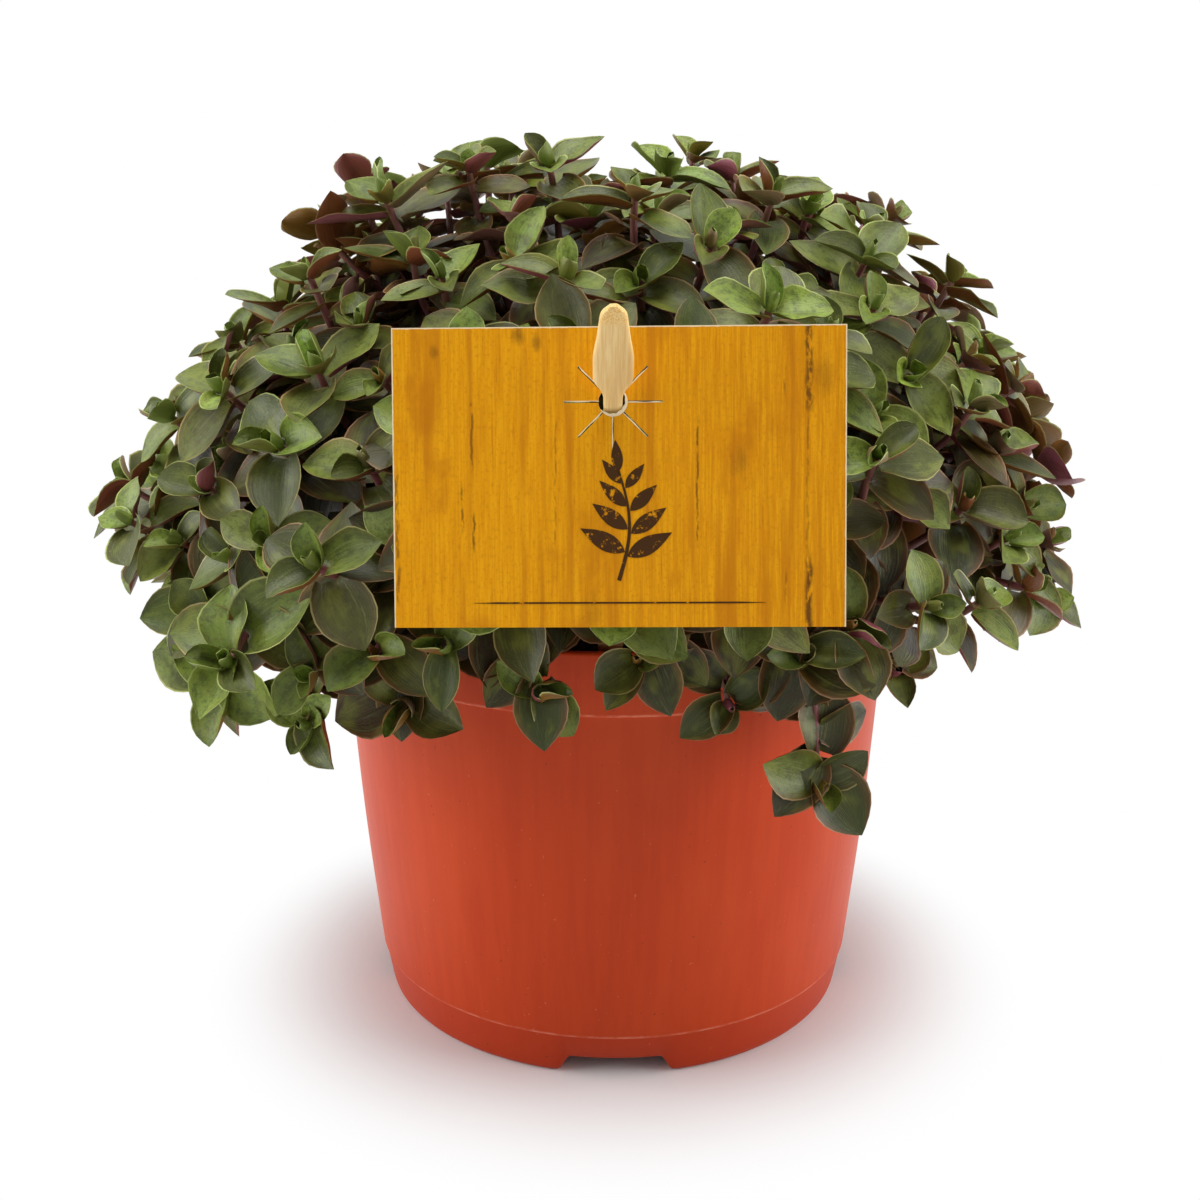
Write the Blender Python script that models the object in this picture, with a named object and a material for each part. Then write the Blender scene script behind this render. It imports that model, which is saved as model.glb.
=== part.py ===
"""A potted turtle vine: a nursery pot with its soil, a mound of creeping shoots, and a card on a pick.

Metres, +Z up. The origin is on the surface that the pot stands on, on the pot's axis. The card faces -Y.
Each shoot is one closed body: a square stem with pairs of leaves drawn out of its sides.
"""

import math
import random

import bmesh
import bpy
from mathutils import Euler, Matrix, Vector

GAP = 0.0003                  # room left between pieces that touch

# Pot
POT_SIDES = 48
RIM_RADIUS = 0.0600           # outside of the rim
POT_HEIGHT = 0.0920
COLLAR_Z = 0.0795             # underside of the collar
COLLAR_RADIUS = 0.0589        # outside of the collar where it ends
BODY_RADIUS = 0.0583          # outside of the wall just under the collar
BELLY_Z = 0.0400              # the wall is a little fuller than a straight cone here
BELLY_RADIUS = 0.0558
MOULD_Z = 0.0097              # fine step where the wall's mould meets the base's
MOULD_RADIUS = 0.0527
MOULD_STEP = 0.0003
FOOT_RADIUS = 0.0507
FOOT_ROUND = 0.0014           # rounding of the foot's outer edge
FOOT_WALL = 0.0030
WALL = 0.0013
LIP = 0.00085                 # radius of the rounded rim
BASE_UNDER_Z = 0.0072         # underside of the raised base
BASE_TOP_Z = 0.0086
FLOOR_CORNER = 0.0015         # bevel inside, between the base and the wall
RECESS_DRAFT = 0.0008         # the foot's inside narrows by this much up to the base
CENTRE_HOLE_RADIUS = 0.0050
DRAIN_HOLES = 8
DRAIN_RING_RADIUS = 0.0360
DRAIN_RADIUS = 0.0035
DRAIN_SIDES = 12
NOTCHES = 4                   # cut through the foot, the first one at the front
NOTCH_HEIGHT = 0.0037
NOTCH_TOP_WIDTH = 0.0185
NOTCH_BOTTOM_WIDTH = 0.0230
NOTCH_DEPTH = 0.0120          # along the radius, right through the foot's wall
NOTCH_CORNER = 0.0008         # bevel of the notch's upper corners
BELOW = 0.0010                # a cutter starts this far under the surface that it opens

# Soil
SOIL_TOP_Z = 0.0820
SOIL_EDGE_DROP = 0.0030       # the soil's top falls off by this much at the wall
SOIL_EDGE_WIDTH = 0.0040

# Card and pick
CARD_WIDTH = 0.0680
CARD_HEIGHT = 0.0450
CARD_THICKNESS = 0.0005
CARD_CENTRE = Vector((-0.0003, -0.0956, 0.1307))
CARD_LEAN = math.radians(12.0)
CARD_YAW = math.radians(-1.9)
CARD_ROLL = math.radians(-0.7)
HOLE_RADIUS = 0.0022
HOLE_SIDES = 24
HOLE_UP = 0.0113              # the hole's centre above the card's centre
HOLE_SIDEWAYS = -0.0008
SLIT_REACH = 0.0074           # from the hole's centre to a slit's end
SLIT_WIDTH = 0.0003
SLITS = 8
PICK_LEAN = math.radians(37.5)
PICK_LENGTH = 0.1560
PICK_HEAD = 0.0190            # from the card's hole to the top of the pick
PICK_THICKNESS = 0.0017
PICK_POINT = (0.0006, 0.0120) # half width of the lower end, and the length over which it widens
PICK_SHAPE = (                # (half width, distance above the card's hole)
    (0.0023, -0.0060),
    (0.00145, -0.0030),
    (0.00145, 0.0015),
    (0.00175, 0.0026),
    (0.0030, 0.0045),
    (0.0030, 0.0095),
    (0.0025, 0.0125),
    (0.00195, 0.0174),
    (0.00125, 0.0186),
    (0.0006, PICK_HEAD),
)

# Foliage
MOUND_CENTRE_Z = 0.0950
MOUND_RADIUS = 0.1000         # half axes of the rounded mound on which the shoots end
MOUND_RISE = 0.0830
MOUND_REACH = 0.1080          # furthest leaf to the front, back, left and right
ROOT_RADIUS = 0.0490          # of the ring in which the outermost shoots are rooted
ROOT_DEPTH = 0.0060
FALL_AT_RIM = 98.0            # shoots that end this many degrees down are rooted on that ring
RINGS = (                     # (degrees down from the mound's top, shoots, turn in degrees)
    (3.0, 1, 0.0),
    (27.0, 6, 0.0),
    (51.0, 10, 0.0),
    (73.0, 12, 15.0),
    (103.0, 12, 0.0),
)
FALL_JITTER = 2.0             # degrees up or down
TURN_JITTER = 2.5             # degrees to either side
REACH_JITTER = 0.02           # share of the mound's radius
RISE_SHARE = 0.45             # how far a shoot rises straight out of the soil before it leans out
LEAN_SHARE = 0.38             # how far back from its end it already points outwards
LEAN = 0.85                   # its last heading, as a share of the ring's degrees down
PICK_AZIMUTH = 270.0          # no shoot of the outermost ring stands here: the pick does
OVER_RIM = (0.0880, 0.1080)   # (radius, height) that steers the outermost shoots over the pot's rim
TRAILER_AZIMUTH = math.radians(-49.0)
TRAILER_ROUTE = ((0.0500, SOIL_TOP_Z), (0.0500, 0.1080), (0.0740, 0.1060), (0.0700, 0.0600))
STEM_HALF = 0.0011
STEM_TAPER = 0.25             # share of its thickness that a stem loses from root to end
SQUARE = ((1, 1), (-1, 1), (-1, -1), (1, -1))
BARE_SHARES = (0.0, 0.33, 0.67)   # of the leafless stretch, where the stem has a section
LEAF_LENGTH = 0.0168
LEAF_WIDTH = 0.0122
LEAF_HALF_THICKNESS = 0.00045
LEAF_BASE = 0.0012            # height of the leaf's base on the stem
LEAF_PAIRS = (                # (distance from the stem's end, share of full size, degrees off the stem)
    (0.0330, 0.95, 84.0),
    (0.0225, 1.00, 78.0),
    (0.0130, 0.88, 68.0),
    (0.0045, 0.58, 48.0),
)
LEAF_SECTIONS = ((0.22, 0.80), (0.62, 0.84), (1.0, 0.1))   # (share of the length, share of the width)
LEAF_DROOP = math.radians(24.0)
BUD_LENGTH = 0.0040
PRESS_FROM_Y = -0.0550        # foliage further forward than this is pushed back behind the card
PRESS_SHARE = 0.42
PRESS_HALF_WIDTH = 0.0370
PRESS_HEIGHTS = (0.1040, 0.1560)
PRESS_SOFT = 0.0120


def clear_scene():
    for obj in list(bpy.data.objects):
        bpy.data.objects.remove(obj, do_unlink=True)


def make_material(name, colour, roughness, metallic=0.0):
    """A Principled BSDF with one colour, as an 8-bit RGB triple turned linear."""
    material = bpy.data.materials.new(name)
    material.use_nodes = True
    shader = material.node_tree.nodes["Principled BSDF"]
    linear = [((c / 255 + 0.055) / 1.055) ** 2.4 for c in colour]
    shader.inputs["Base Color"].default_value = (*linear, 1.0)
    shader.inputs["Roughness"].default_value = roughness
    shader.inputs["Metallic"].default_value = metallic
    material.diffuse_color = (*linear, 1.0)
    return material


def add_object(name, bm, material=None):
    bmesh.ops.recalc_face_normals(bm, faces=bm.faces)
    mesh = bpy.data.meshes.new(name)
    bm.to_mesh(mesh)
    bm.free()
    obj = bpy.data.objects.new(name, mesh)
    bpy.context.scene.collection.objects.link(obj)
    if material:
        mesh.materials.append(material)
    return obj


def as_cutter(obj, target):
    """Hides a helper and subtracts it from the target."""
    obj.hide_render = True
    obj.display_type = "WIRE"
    cut = target.modifiers.new("cut " + obj.name, "BOOLEAN")
    cut.operation = "DIFFERENCE"
    cut.solver = "EXACT"
    cut.object = obj


def turned(name, profile, material, closed):
    """Turns a profile of (radius, height) points about +Z. It runs down its outer side."""
    bm = bmesh.new()
    verts = [bm.verts.new((radius, 0.0, height)) for radius, height in profile]
    for first, second in zip(verts, verts[1:] + (verts[:1] if closed else [])):
        bm.edges.new((first, second))
    mesh = bpy.data.meshes.new(name)
    bm.to_mesh(mesh)
    bm.free()
    obj = bpy.data.objects.new(name, mesh)
    bpy.context.scene.collection.objects.link(obj)
    mesh.materials.append(material)
    screw = obj.modifiers.new("turn", "SCREW")
    screw.steps = screw.render_steps = POT_SIDES
    screw.use_merge_vertices = True
    screw.merge_threshold = 0.00001
    screw.use_smooth_shade = True
    return obj


def arc(centre, radius, start, end, points):
    """Points on an arc, angles in degrees from +X towards +Z."""
    angles = [math.radians(start + (end - start) * i / (points - 1)) for i in range(points)]
    return [(centre[0] + radius * math.cos(a), centre[1] + radius * math.sin(a)) for a in angles]


def prism(bm, outline, matrix, depth):
    """A closed prism: an outline in X and Z, drawn along Y by depth on both sides of its plane."""
    front = [bm.verts.new(matrix @ Vector((x, -depth / 2, z))) for x, z in outline]
    back = [bm.verts.new(matrix @ Vector((x, depth / 2, z))) for x, z in outline]
    bm.faces.new(front)
    bm.faces.new(back[::-1])
    for i in range(len(outline)):
        j = (i + 1) % len(outline)
        bm.faces.new((front[i], back[i], back[j], front[j]))


def mirrored(right):
    """A closed outline from its right half, given upwards."""
    return list(right) + [(-x, z) for x, z in reversed(right)]


def disc(bm, radius, depth, sides, matrix):
    """A closed cylinder about the matrix's Y axis."""
    outline = [
        (radius * math.cos(math.tau * i / sides), radius * math.sin(math.tau * i / sides))
        for i in range(sides)
    ]
    prism(bm, outline, matrix, depth)


def wall_radius(height):
    """The outside radius of the pot's wall below the collar."""
    if height > BELLY_Z:
        share = (height - BELLY_Z) / (COLLAR_Z - BELLY_Z)
        return BELLY_RADIUS + share * (BODY_RADIUS - BELLY_RADIUS)
    share = (height - MOULD_Z) / (BELLY_Z - MOULD_Z)
    return MOULD_RADIUS + share * (BELLY_RADIUS - MOULD_RADIUS)


def make_pot(material):
    lip_centre = (RIM_RADIUS - LIP, POT_HEIGHT - LIP)
    foot_centre = (FOOT_RADIUS - FOOT_ROUND, FOOT_ROUND)
    profile = [
        (CENTRE_HOLE_RADIUS, BASE_TOP_Z),
        (MOULD_RADIUS - WALL - FLOOR_CORNER, BASE_TOP_Z),
        (MOULD_RADIUS - WALL, BASE_TOP_Z + FLOOR_CORNER),
        (wall_radius(BELLY_Z) - WALL, BELLY_Z),
        (wall_radius(COLLAR_Z) - WALL, COLLAR_Z),
        *arc(lip_centre, LIP, 180.0, 0.0, 5),
        (COLLAR_RADIUS, COLLAR_Z),
        (BODY_RADIUS, COLLAR_Z - MOULD_STEP),
        (BELLY_RADIUS, BELLY_Z),
        (MOULD_RADIUS, MOULD_Z),
        (MOULD_RADIUS - MOULD_STEP, MOULD_Z - MOULD_STEP),
        *arc(foot_centre, FOOT_ROUND, 0.0, -90.0, 3),
        (FOOT_RADIUS - FOOT_WALL, 0.0),
        (FOOT_RADIUS - FOOT_WALL - RECESS_DRAFT, BASE_UNDER_Z),
        (CENTRE_HOLE_RADIUS, BASE_UNDER_Z),
    ]
    pot = turned("pot", profile, material, closed=True)

    bm = bmesh.new()
    half = [
        (NOTCH_BOTTOM_WIDTH / 2, -BELOW),
        (NOTCH_TOP_WIDTH / 2 + NOTCH_CORNER, NOTCH_HEIGHT - NOTCH_CORNER),
        (NOTCH_TOP_WIDTH / 2 - NOTCH_CORNER, NOTCH_HEIGHT),
    ]
    for i in range(NOTCHES):
        turn = Matrix.Rotation(math.tau * i / NOTCHES, 4, "Z")
        prism(bm, mirrored(half), turn @ Matrix.Translation((0, -FOOT_RADIUS, 0)), NOTCH_DEPTH)
    upright = Matrix.Rotation(math.pi / 2, 4, "X")
    for i in range(DRAIN_HOLES):
        turn = Matrix.Rotation(math.tau * (i + 0.5) / DRAIN_HOLES, 4, "Z")
        place = Matrix.Translation((0, -DRAIN_RING_RADIUS, (BASE_TOP_Z + BASE_UNDER_Z) / 2))
        disc(bm, DRAIN_RADIUS, BASE_TOP_Z - BASE_UNDER_Z + 2 * BELOW, DRAIN_SIDES, turn @ place @ upright)
    as_cutter(add_object("foot_notches_and_drains", bm), pot)
    return pot


def socket(bm, root, side, across):
    """A square hole for a stem's root, open above the soil."""
    corners = [root + (side * s + across * t) * (STEM_HALF + GAP) for s, t in SQUARE]
    low = [bm.verts.new(c - Vector((0, 0, GAP))) for c in corners]
    high = [bm.verts.new(c + Vector((0, 0, 2 * ROOT_DEPTH))) for c in corners]
    bm.faces.new(low)
    bm.faces.new(high[::-1])
    for i in range(4):
        bm.faces.new((low[i - 1], low[i], high[i], high[i - 1]))


def make_soil(material, stems, pick_matrix):
    """The soil plug, with a socket for each stem and a slot for the pick."""
    inside = WALL + GAP
    profile = [
        (0.0, SOIL_TOP_Z),
        (wall_radius(COLLAR_Z) - inside - SOIL_EDGE_WIDTH, SOIL_TOP_Z),
        (wall_radius(SOIL_TOP_Z - SOIL_EDGE_DROP) - inside, SOIL_TOP_Z - SOIL_EDGE_DROP),
        (wall_radius(BELLY_Z) - inside, BELLY_Z),
        (MOULD_RADIUS - inside, BASE_TOP_Z + GAP + FLOOR_CORNER),
        (MOULD_RADIUS - inside - FLOOR_CORNER, BASE_TOP_Z + GAP),
        (0.0, BASE_TOP_Z + GAP),
    ]
    soil = turned("soil", profile, material, closed=False)

    bm = bmesh.new()
    for root, side, across in stems:
        socket(bm, root, side, across)
    as_cutter(add_object("stem_sockets", bm), soil)

    bm = bmesh.new()
    prism(bm, pick_outline(GAP), pick_matrix, PICK_THICKNESS + 2 * GAP)
    as_cutter(add_object("pick_slot", bm), soil)
    return soil


def card_matrix():
    turn = Euler((-CARD_LEAN, CARD_ROLL, CARD_YAW), "XYZ").to_matrix().to_4x4()
    return Matrix.Translation(CARD_CENTRE) @ turn


def pick_outline(grow=0.0):
    """The pick's outline seen flat: pointed below, a narrow neck at the card's hole, and a wider head."""
    half, widening = PICK_POINT
    neck = PICK_LENGTH - PICK_HEAD
    right = [(half + grow, -grow), (PICK_SHAPE[0][0] + grow, widening)]
    return mirrored(right + [(x + grow, neck + z) for x, z in PICK_SHAPE])


def pick_placement(card):
    """The pick leans forward out of the soil, and its neck passes through the middle of the card's hole."""
    hole = card @ Vector((HOLE_SIDEWAYS, 0, HOLE_UP))
    along = Vector((0, -math.sin(PICK_LEAN), math.cos(PICK_LEAN)))
    foot = hole - along * (PICK_LENGTH - PICK_HEAD)
    return Matrix.Translation(foot) @ Matrix.Rotation(PICK_LEAN, 4, "X")


def make_card(material, card):
    bm = bmesh.new()
    x, z = CARD_WIDTH / 2, CARD_HEIGHT / 2
    prism(bm, ((-x, -z), (x, -z), (x, z), (-x, z)), card, CARD_THICKNESS)
    plate = add_object("label_card", bm, material)

    hole = card @ Matrix.Translation((HOLE_SIDEWAYS, 0, HOLE_UP))
    bm = bmesh.new()
    disc(bm, HOLE_RADIUS, 4 * CARD_THICKNESS, HOLE_SIDES, hole)
    as_cutter(add_object("card_hole", bm), plate)
    for i in range(SLITS // 2):
        bm = bmesh.new()
        turn = Matrix.Rotation(math.tau * i / SLITS, 4, "Y")
        w = SLIT_WIDTH / 2
        bar = ((-SLIT_REACH, -w), (SLIT_REACH, -w), (SLIT_REACH, w), (-SLIT_REACH, w))
        prism(bm, bar, hole @ turn, 4 * CARD_THICKNESS)
        as_cutter(add_object(f"card_slit_{i + 1}", bm), plate)
    return plate


def make_pick(material, matrix):
    bm = bmesh.new()
    prism(bm, pick_outline(), matrix, PICK_THICKNESS)
    return add_object("label_pick", bm, material)


def bezier(points, t):
    """A cubic Bezier curve's point and its direction at t."""
    a, b, c, d = points
    s = 1 - t
    point = a * s**3 + b * (3 * s * s * t) + c * (3 * s * t * t) + d * t**3
    slope = (b - a) * (3 * s * s) + (c - b) * (6 * s * t) + (d - c) * (3 * t * t)
    return point, slope.normalized()


def curve_table(points, steps=200):
    """(distance, t) along the curve."""
    table = [(0.0, 0.0)]
    before = points[0]
    for i in range(1, steps + 1):
        now = bezier(points, i / steps)[0]
        table.append((table[-1][0] + (now - before).length, i / steps))
        before = now
    return table


def at_distance(points, table, distance):
    for (d0, t0), (d1, t1) in zip(table, table[1:]):
        if distance <= d1:
            return bezier(points, t0 + (t1 - t0) * (distance - d0) / (d1 - d0))
    return bezier(points, 1.0)


def shoot_routes():
    """One Bezier route for each shoot, from its root in the soil out to the mound's surface."""
    chance = random.Random(11)
    up = Vector((0, 0, 1))
    routes = []
    for fall, count, turn in RINGS:
        for i in range(count):
            turned_to = turn + 360.0 * i / count
            down = math.radians(fall + chance.uniform(-FALL_JITTER, FALL_JITTER))
            azimuth = math.radians(turned_to + chance.uniform(-TURN_JITTER, TURN_JITTER))
            reach = MOUND_RADIUS * (1 + chance.uniform(-REACH_JITTER, REACH_JITTER))
            over_rim = fall > 90.0
            if over_rim and turned_to == PICK_AZIMUTH:
                continue
            out = Vector((math.cos(azimuth), math.sin(azimuth), 0))
            root = out * ROOT_RADIUS * min(1.0, fall / FALL_AT_RIM) + up * SOIL_TOP_Z
            end = out * (reach * math.sin(down)) + up * (MOUND_CENTRE_Z + MOUND_RISE * math.cos(down))
            if over_rim:
                second = out * ROOT_RADIUS + up * OVER_RIM[1]
                third = out * OVER_RIM[0] + up * OVER_RIM[1]
            else:
                heading = out * math.sin(LEAN * down) + up * math.cos(LEAN * down)
                second = root + up * (RISE_SHARE * (end - root).length)
                third = end - heading * (LEAN_SHARE * (end - root).length)
            routes.append((root, second, third, end))
    return routes


def trailer_route():
    """The shoot that hangs down close to the pot's wall."""
    out = Vector((math.cos(TRAILER_AZIMUTH), math.sin(TRAILER_AZIMUTH), 0))
    return [out * radius + Vector((0, 0, height)) for radius, height in TRAILER_ROUTE]


def draw_leaf(bm, face, stem_dir, side_dir, size, pitch):
    """Draws a side face of the stem out into a pointed, egg-shaped leaf that bends down along its length."""
    across = stem_dir.cross(side_dir).normalized()
    centre = face.calc_center_median()
    done = 0.0
    for share, wide in LEAF_SECTIONS:
        out = stem_dir * math.cos(pitch) + side_dir * math.sin(pitch)
        normal = stem_dir * math.sin(pitch) - side_dir * math.cos(pitch)
        middle = face.calc_center_median()
        signs = [
            (math.copysign(1, (v.co - middle).dot(across)), math.copysign(1, (v.co - middle).dot(normal)))
            for v in face.verts
        ]
        centre = centre + out * ((share - done) * LEAF_LENGTH * size)
        done = share
        face = bmesh.ops.extrude_discrete_faces(bm, faces=[face])["faces"][0]
        half_width = wide * LEAF_WIDTH * size / 2
        for v, (s, n) in zip(face.verts, signs):
            v.co = centre + across * (s * half_width) + normal * (n * LEAF_HALF_THICKNESS)
        pitch += LEAF_DROOP / len(LEAF_SECTIONS)
    bmesh.ops.pointmerge(bm, verts=face.verts[:], merge_co=centre)


def shoot_sections(length):
    """(distance, leaf pair drawn from the faces below it) for each section of a stem of this length."""
    bare = length - LEAF_PAIRS[0][0]
    sections = [(-ROOT_DEPTH, None)] + [(share * bare, None) for share in BARE_SHARES]
    for index, pair in enumerate(LEAF_PAIRS):
        sections.append((length - pair[0], None))
        sections.append((length - pair[0] + LEAF_BASE, index))
    return sections + [(length, None)]


def make_shoot(route, twist, crossed=True):
    """A square stem along the route, with pairs of leaves near its end and a bud on top. Gives the mesh
    and the frame of its root: (centre, side, across)."""
    table = curve_table(route)
    length = table[-1][0]
    outwards = Vector((route[3].x, route[3].y, 0)).normalized()
    sideways = Vector((-outwards.y, outwards.x, 0))
    sections = shoot_sections(length)
    bm = bmesh.new()
    rings, frames = [], []
    for distance, _ in sections:
        point, direction = at_distance(route, table, max(distance, 0.0))
        point.z += min(distance, 0.0)
        first = (sideways - direction * sideways.dot(direction)).normalized()
        side = first * math.cos(twist) + direction.cross(first) * math.sin(twist)
        across = direction.cross(side)
        half = STEM_HALF * (1.0 - STEM_TAPER * max(distance, 0.0) / length)
        rings.append([bm.verts.new(point + side * half * s + across * half * t) for s, t in SQUARE])
        frames.append((direction, side, across))
    bm.faces.new(rings[0][::-1])
    leaves = []
    for i, (low, high) in enumerate(zip(rings, rings[1:]), start=1):
        faces = [bm.faces.new((low[k], low[k - 3], high[k - 3], high[k])) for k in range(4)]
        index = sections[i][1]
        if index is None:
            continue
        direction, side, across = frames[i]
        size, pitch = LEAF_PAIRS[index][1], math.radians(LEAF_PAIRS[index][2])
        if index % 2 and crossed:
            pair = ((faces[0], across), (faces[2], -across))
        else:
            pair = ((faces[3], side), (faces[1], -side))
        leaves += [(face, direction, way, size, pitch) for face, way in pair]
    cap = bm.faces.new(rings[-1])
    bud = bmesh.ops.extrude_discrete_faces(bm, faces=[cap])["faces"][0]
    bmesh.ops.pointmerge(bm, verts=bud.verts[:], merge_co=route[3] + frames[-1][0] * BUD_LENGTH)
    for leaf in leaves:
        draw_leaf(bm, *leaf)
    root = route[0] - Vector((0, 0, ROOT_DEPTH))
    return bm, (root, frames[0][1], frames[0][2])


def fade(value, low, high, soft):
    """1 between low and high, falling to 0 over the soft distance outside them."""
    outside = max(low - value, value - high, 0.0)
    return max(0.0, 1.0 - outside / soft)


def press_behind_card(point):
    """Foliage behind the card is pushed back, as the card does to it."""
    if point.y > PRESS_FROM_Y:
        return
    strength = fade(point.x, -PRESS_HALF_WIDTH, PRESS_HALF_WIDTH, PRESS_SOFT)
    strength *= fade(point.z, *PRESS_HEIGHTS, PRESS_SOFT)
    point.y = PRESS_FROM_Y + (point.y - PRESS_FROM_Y) * (1.0 - strength * PRESS_SHARE)


def fit_reach(meshes):
    """Stretches the foliage outside the rim until it reaches equally far on all four sides."""
    points = [v.co for bm in meshes for v in bm.verts]
    for axis in (0, 1):
        for sign in (-1, 1):
            furthest = max(sign * p[axis] for p in points)
            stretch = (MOUND_REACH - RIM_RADIUS) / (furthest - RIM_RADIUS)
            for p in points:
                if sign * p[axis] > RIM_RADIUS:
                    p[axis] = sign * (RIM_RADIUS + (sign * p[axis] - RIM_RADIUS) * stretch)


def build():
    clear_scene()
    plastic = make_material("moulded_plastic", (196, 74, 48), 0.42)
    earth = make_material("potting_soil", (58, 42, 32), 0.95)
    foliage = make_material("leaf_and_stem", (78, 96, 62), 0.48)
    card_print = make_material("printed_card", (203, 138, 22), 0.45)
    wood = make_material("pale_wood", (232, 205, 150), 0.62)

    make_pot(plastic)
    card = card_matrix()
    pick = pick_placement(card)
    make_card(card_print, card)
    make_pick(wood, pick)

    chance = random.Random(6)
    shoots = [make_shoot(route, math.radians(chance.uniform(20.0, 70.0))) for route in shoot_routes()]
    shoots.append(make_shoot(trailer_route(), 0.0, crossed=False))
    for bm, _ in shoots:
        for v in bm.verts:
            press_behind_card(v.co)
    fit_reach([bm for bm, _ in shoots])
    make_soil(earth, [root for _, root in shoots], pick)
    for number, (bm, _) in enumerate(shoots, start=1):
        add_object(f"shoot_{number:02d}", bm, foliage)


build()
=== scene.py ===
import bmesh
import bpy
import numpy as np
from mathutils import Euler, Matrix, Vector


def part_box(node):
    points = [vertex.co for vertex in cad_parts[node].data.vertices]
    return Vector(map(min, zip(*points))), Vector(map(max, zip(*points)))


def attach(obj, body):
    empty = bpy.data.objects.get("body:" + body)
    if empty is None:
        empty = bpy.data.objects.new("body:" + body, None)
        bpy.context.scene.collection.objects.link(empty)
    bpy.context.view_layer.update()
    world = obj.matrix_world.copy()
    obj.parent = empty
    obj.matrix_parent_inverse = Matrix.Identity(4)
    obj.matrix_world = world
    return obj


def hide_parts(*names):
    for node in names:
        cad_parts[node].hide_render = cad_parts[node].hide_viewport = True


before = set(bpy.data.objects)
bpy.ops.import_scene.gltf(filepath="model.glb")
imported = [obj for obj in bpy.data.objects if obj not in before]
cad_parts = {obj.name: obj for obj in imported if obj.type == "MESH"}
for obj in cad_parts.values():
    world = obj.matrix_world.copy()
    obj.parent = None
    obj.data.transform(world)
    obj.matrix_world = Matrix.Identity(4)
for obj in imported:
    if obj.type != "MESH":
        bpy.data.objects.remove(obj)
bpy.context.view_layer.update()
print("frame loaded:", len(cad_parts), "nodes")


def paint(red, green, blue):
    # A screen colour of 0 to 255 as the linear colour that a shader takes.
    share = np.array([red, green, blue]) / 255
    linear = np.where(share <= 0.04045, share / 12.92, ((share + 0.055) / 1.055) ** 2.4)
    return (*(float(value) for value in linear), 1.0)


def ease(low, high, value):
    # 0 below low, 1 above high, and a smooth S between them.
    share = np.clip((value - low) / (high - low), 0, 1)
    return share * share * (3 - 2 * share)


def unit(vectors):
    # Each vector divided by its length.
    return vectors / np.maximum(np.linalg.norm(vectors, axis=-1, keepdims=True), 1e-12)


def onCircle(turns):
    # The points at the turns on a circle of radius 1.
    return np.stack([np.cos(turns), np.sin(turns)], -1)


def softFloor(value, soft):
    # Follows value where it is well above 0, and bends away from 0 where it isn't.
    return soft * np.logaddexp(0, value / soft)


def addPatch(patch, **parts):
    # Adds one batch of points and faces, counted on from the points and the islands of the map
    # that are there already.
    start = sum(len(part) for part in patch.get("points", []))
    islands = 1 + max([int(part.max()) for part in patch.get("quadIsland", [])] or [-1])
    shift = {"quads": start, "tris": start, "quadIsland": islands, "triIsland": islands}
    for key, values in parts.items():
        patch.setdefault(key, []).append(values + shift[key] if key in shift else values)


def copiedFaces(faces, count, size):
    # The faces of one form again for each of count forms, which have size points each.
    return (faces[None] + np.arange(count)[:, None, None] * size).reshape(-1, faces.shape[1])


noTriangles = np.zeros((0, 3), int)


def meshObject(name, points, quads, tris, material):
    # Points and faces put into a new smooth mesh, as whole arrays.
    mesh = bpy.data.meshes.new(name)
    corners = np.concatenate([quads.ravel(), tris.ravel()]).astype(np.int32)
    sizes = np.concatenate([np.full(len(quads), 4), np.full(len(tris), 3)])
    starts = np.concatenate([[0], np.cumsum(sizes)[:-1]]).astype(np.int32)
    mesh.vertices.add(len(points))
    mesh.vertices.foreach_set("co", np.ascontiguousarray(points, np.float32).ravel())
    mesh.loops.add(len(corners))
    mesh.loops.foreach_set("vertex_index", corners)
    mesh.polygons.add(len(sizes))
    mesh.polygons.foreach_set("loop_start", starts)
    mesh.update(calc_edges=True)
    mesh.polygons.foreach_set("use_smooth", np.ones(len(sizes), bool))
    mesh.materials.append(material)
    piece = bpy.data.objects.new(name, mesh)
    bpy.context.scene.collection.objects.link(piece)
    return piece


def writeMap(mesh, name, values):
    # A place on a map for each corner of each face.
    layer = mesh.uv_layers.new(name=name, do_init=False)
    layer.uv.foreach_set("vector", np.ascontiguousarray(values, np.float32).ravel())


def writeNumbers(mesh, name, domain, values):
    # A number for each point or for each face, which a material reads by its name.
    attribute = mesh.attributes.new(name, "FLOAT", domain)
    attribute.data.foreach_set("value", np.ascontiguousarray(values))


def sharpenBends(mesh, degrees):
    # An edge whose two faces turn by more than the angle is drawn sharp.
    mesh.set_sharp_from_angle(angle=np.radians(degrees))


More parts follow.
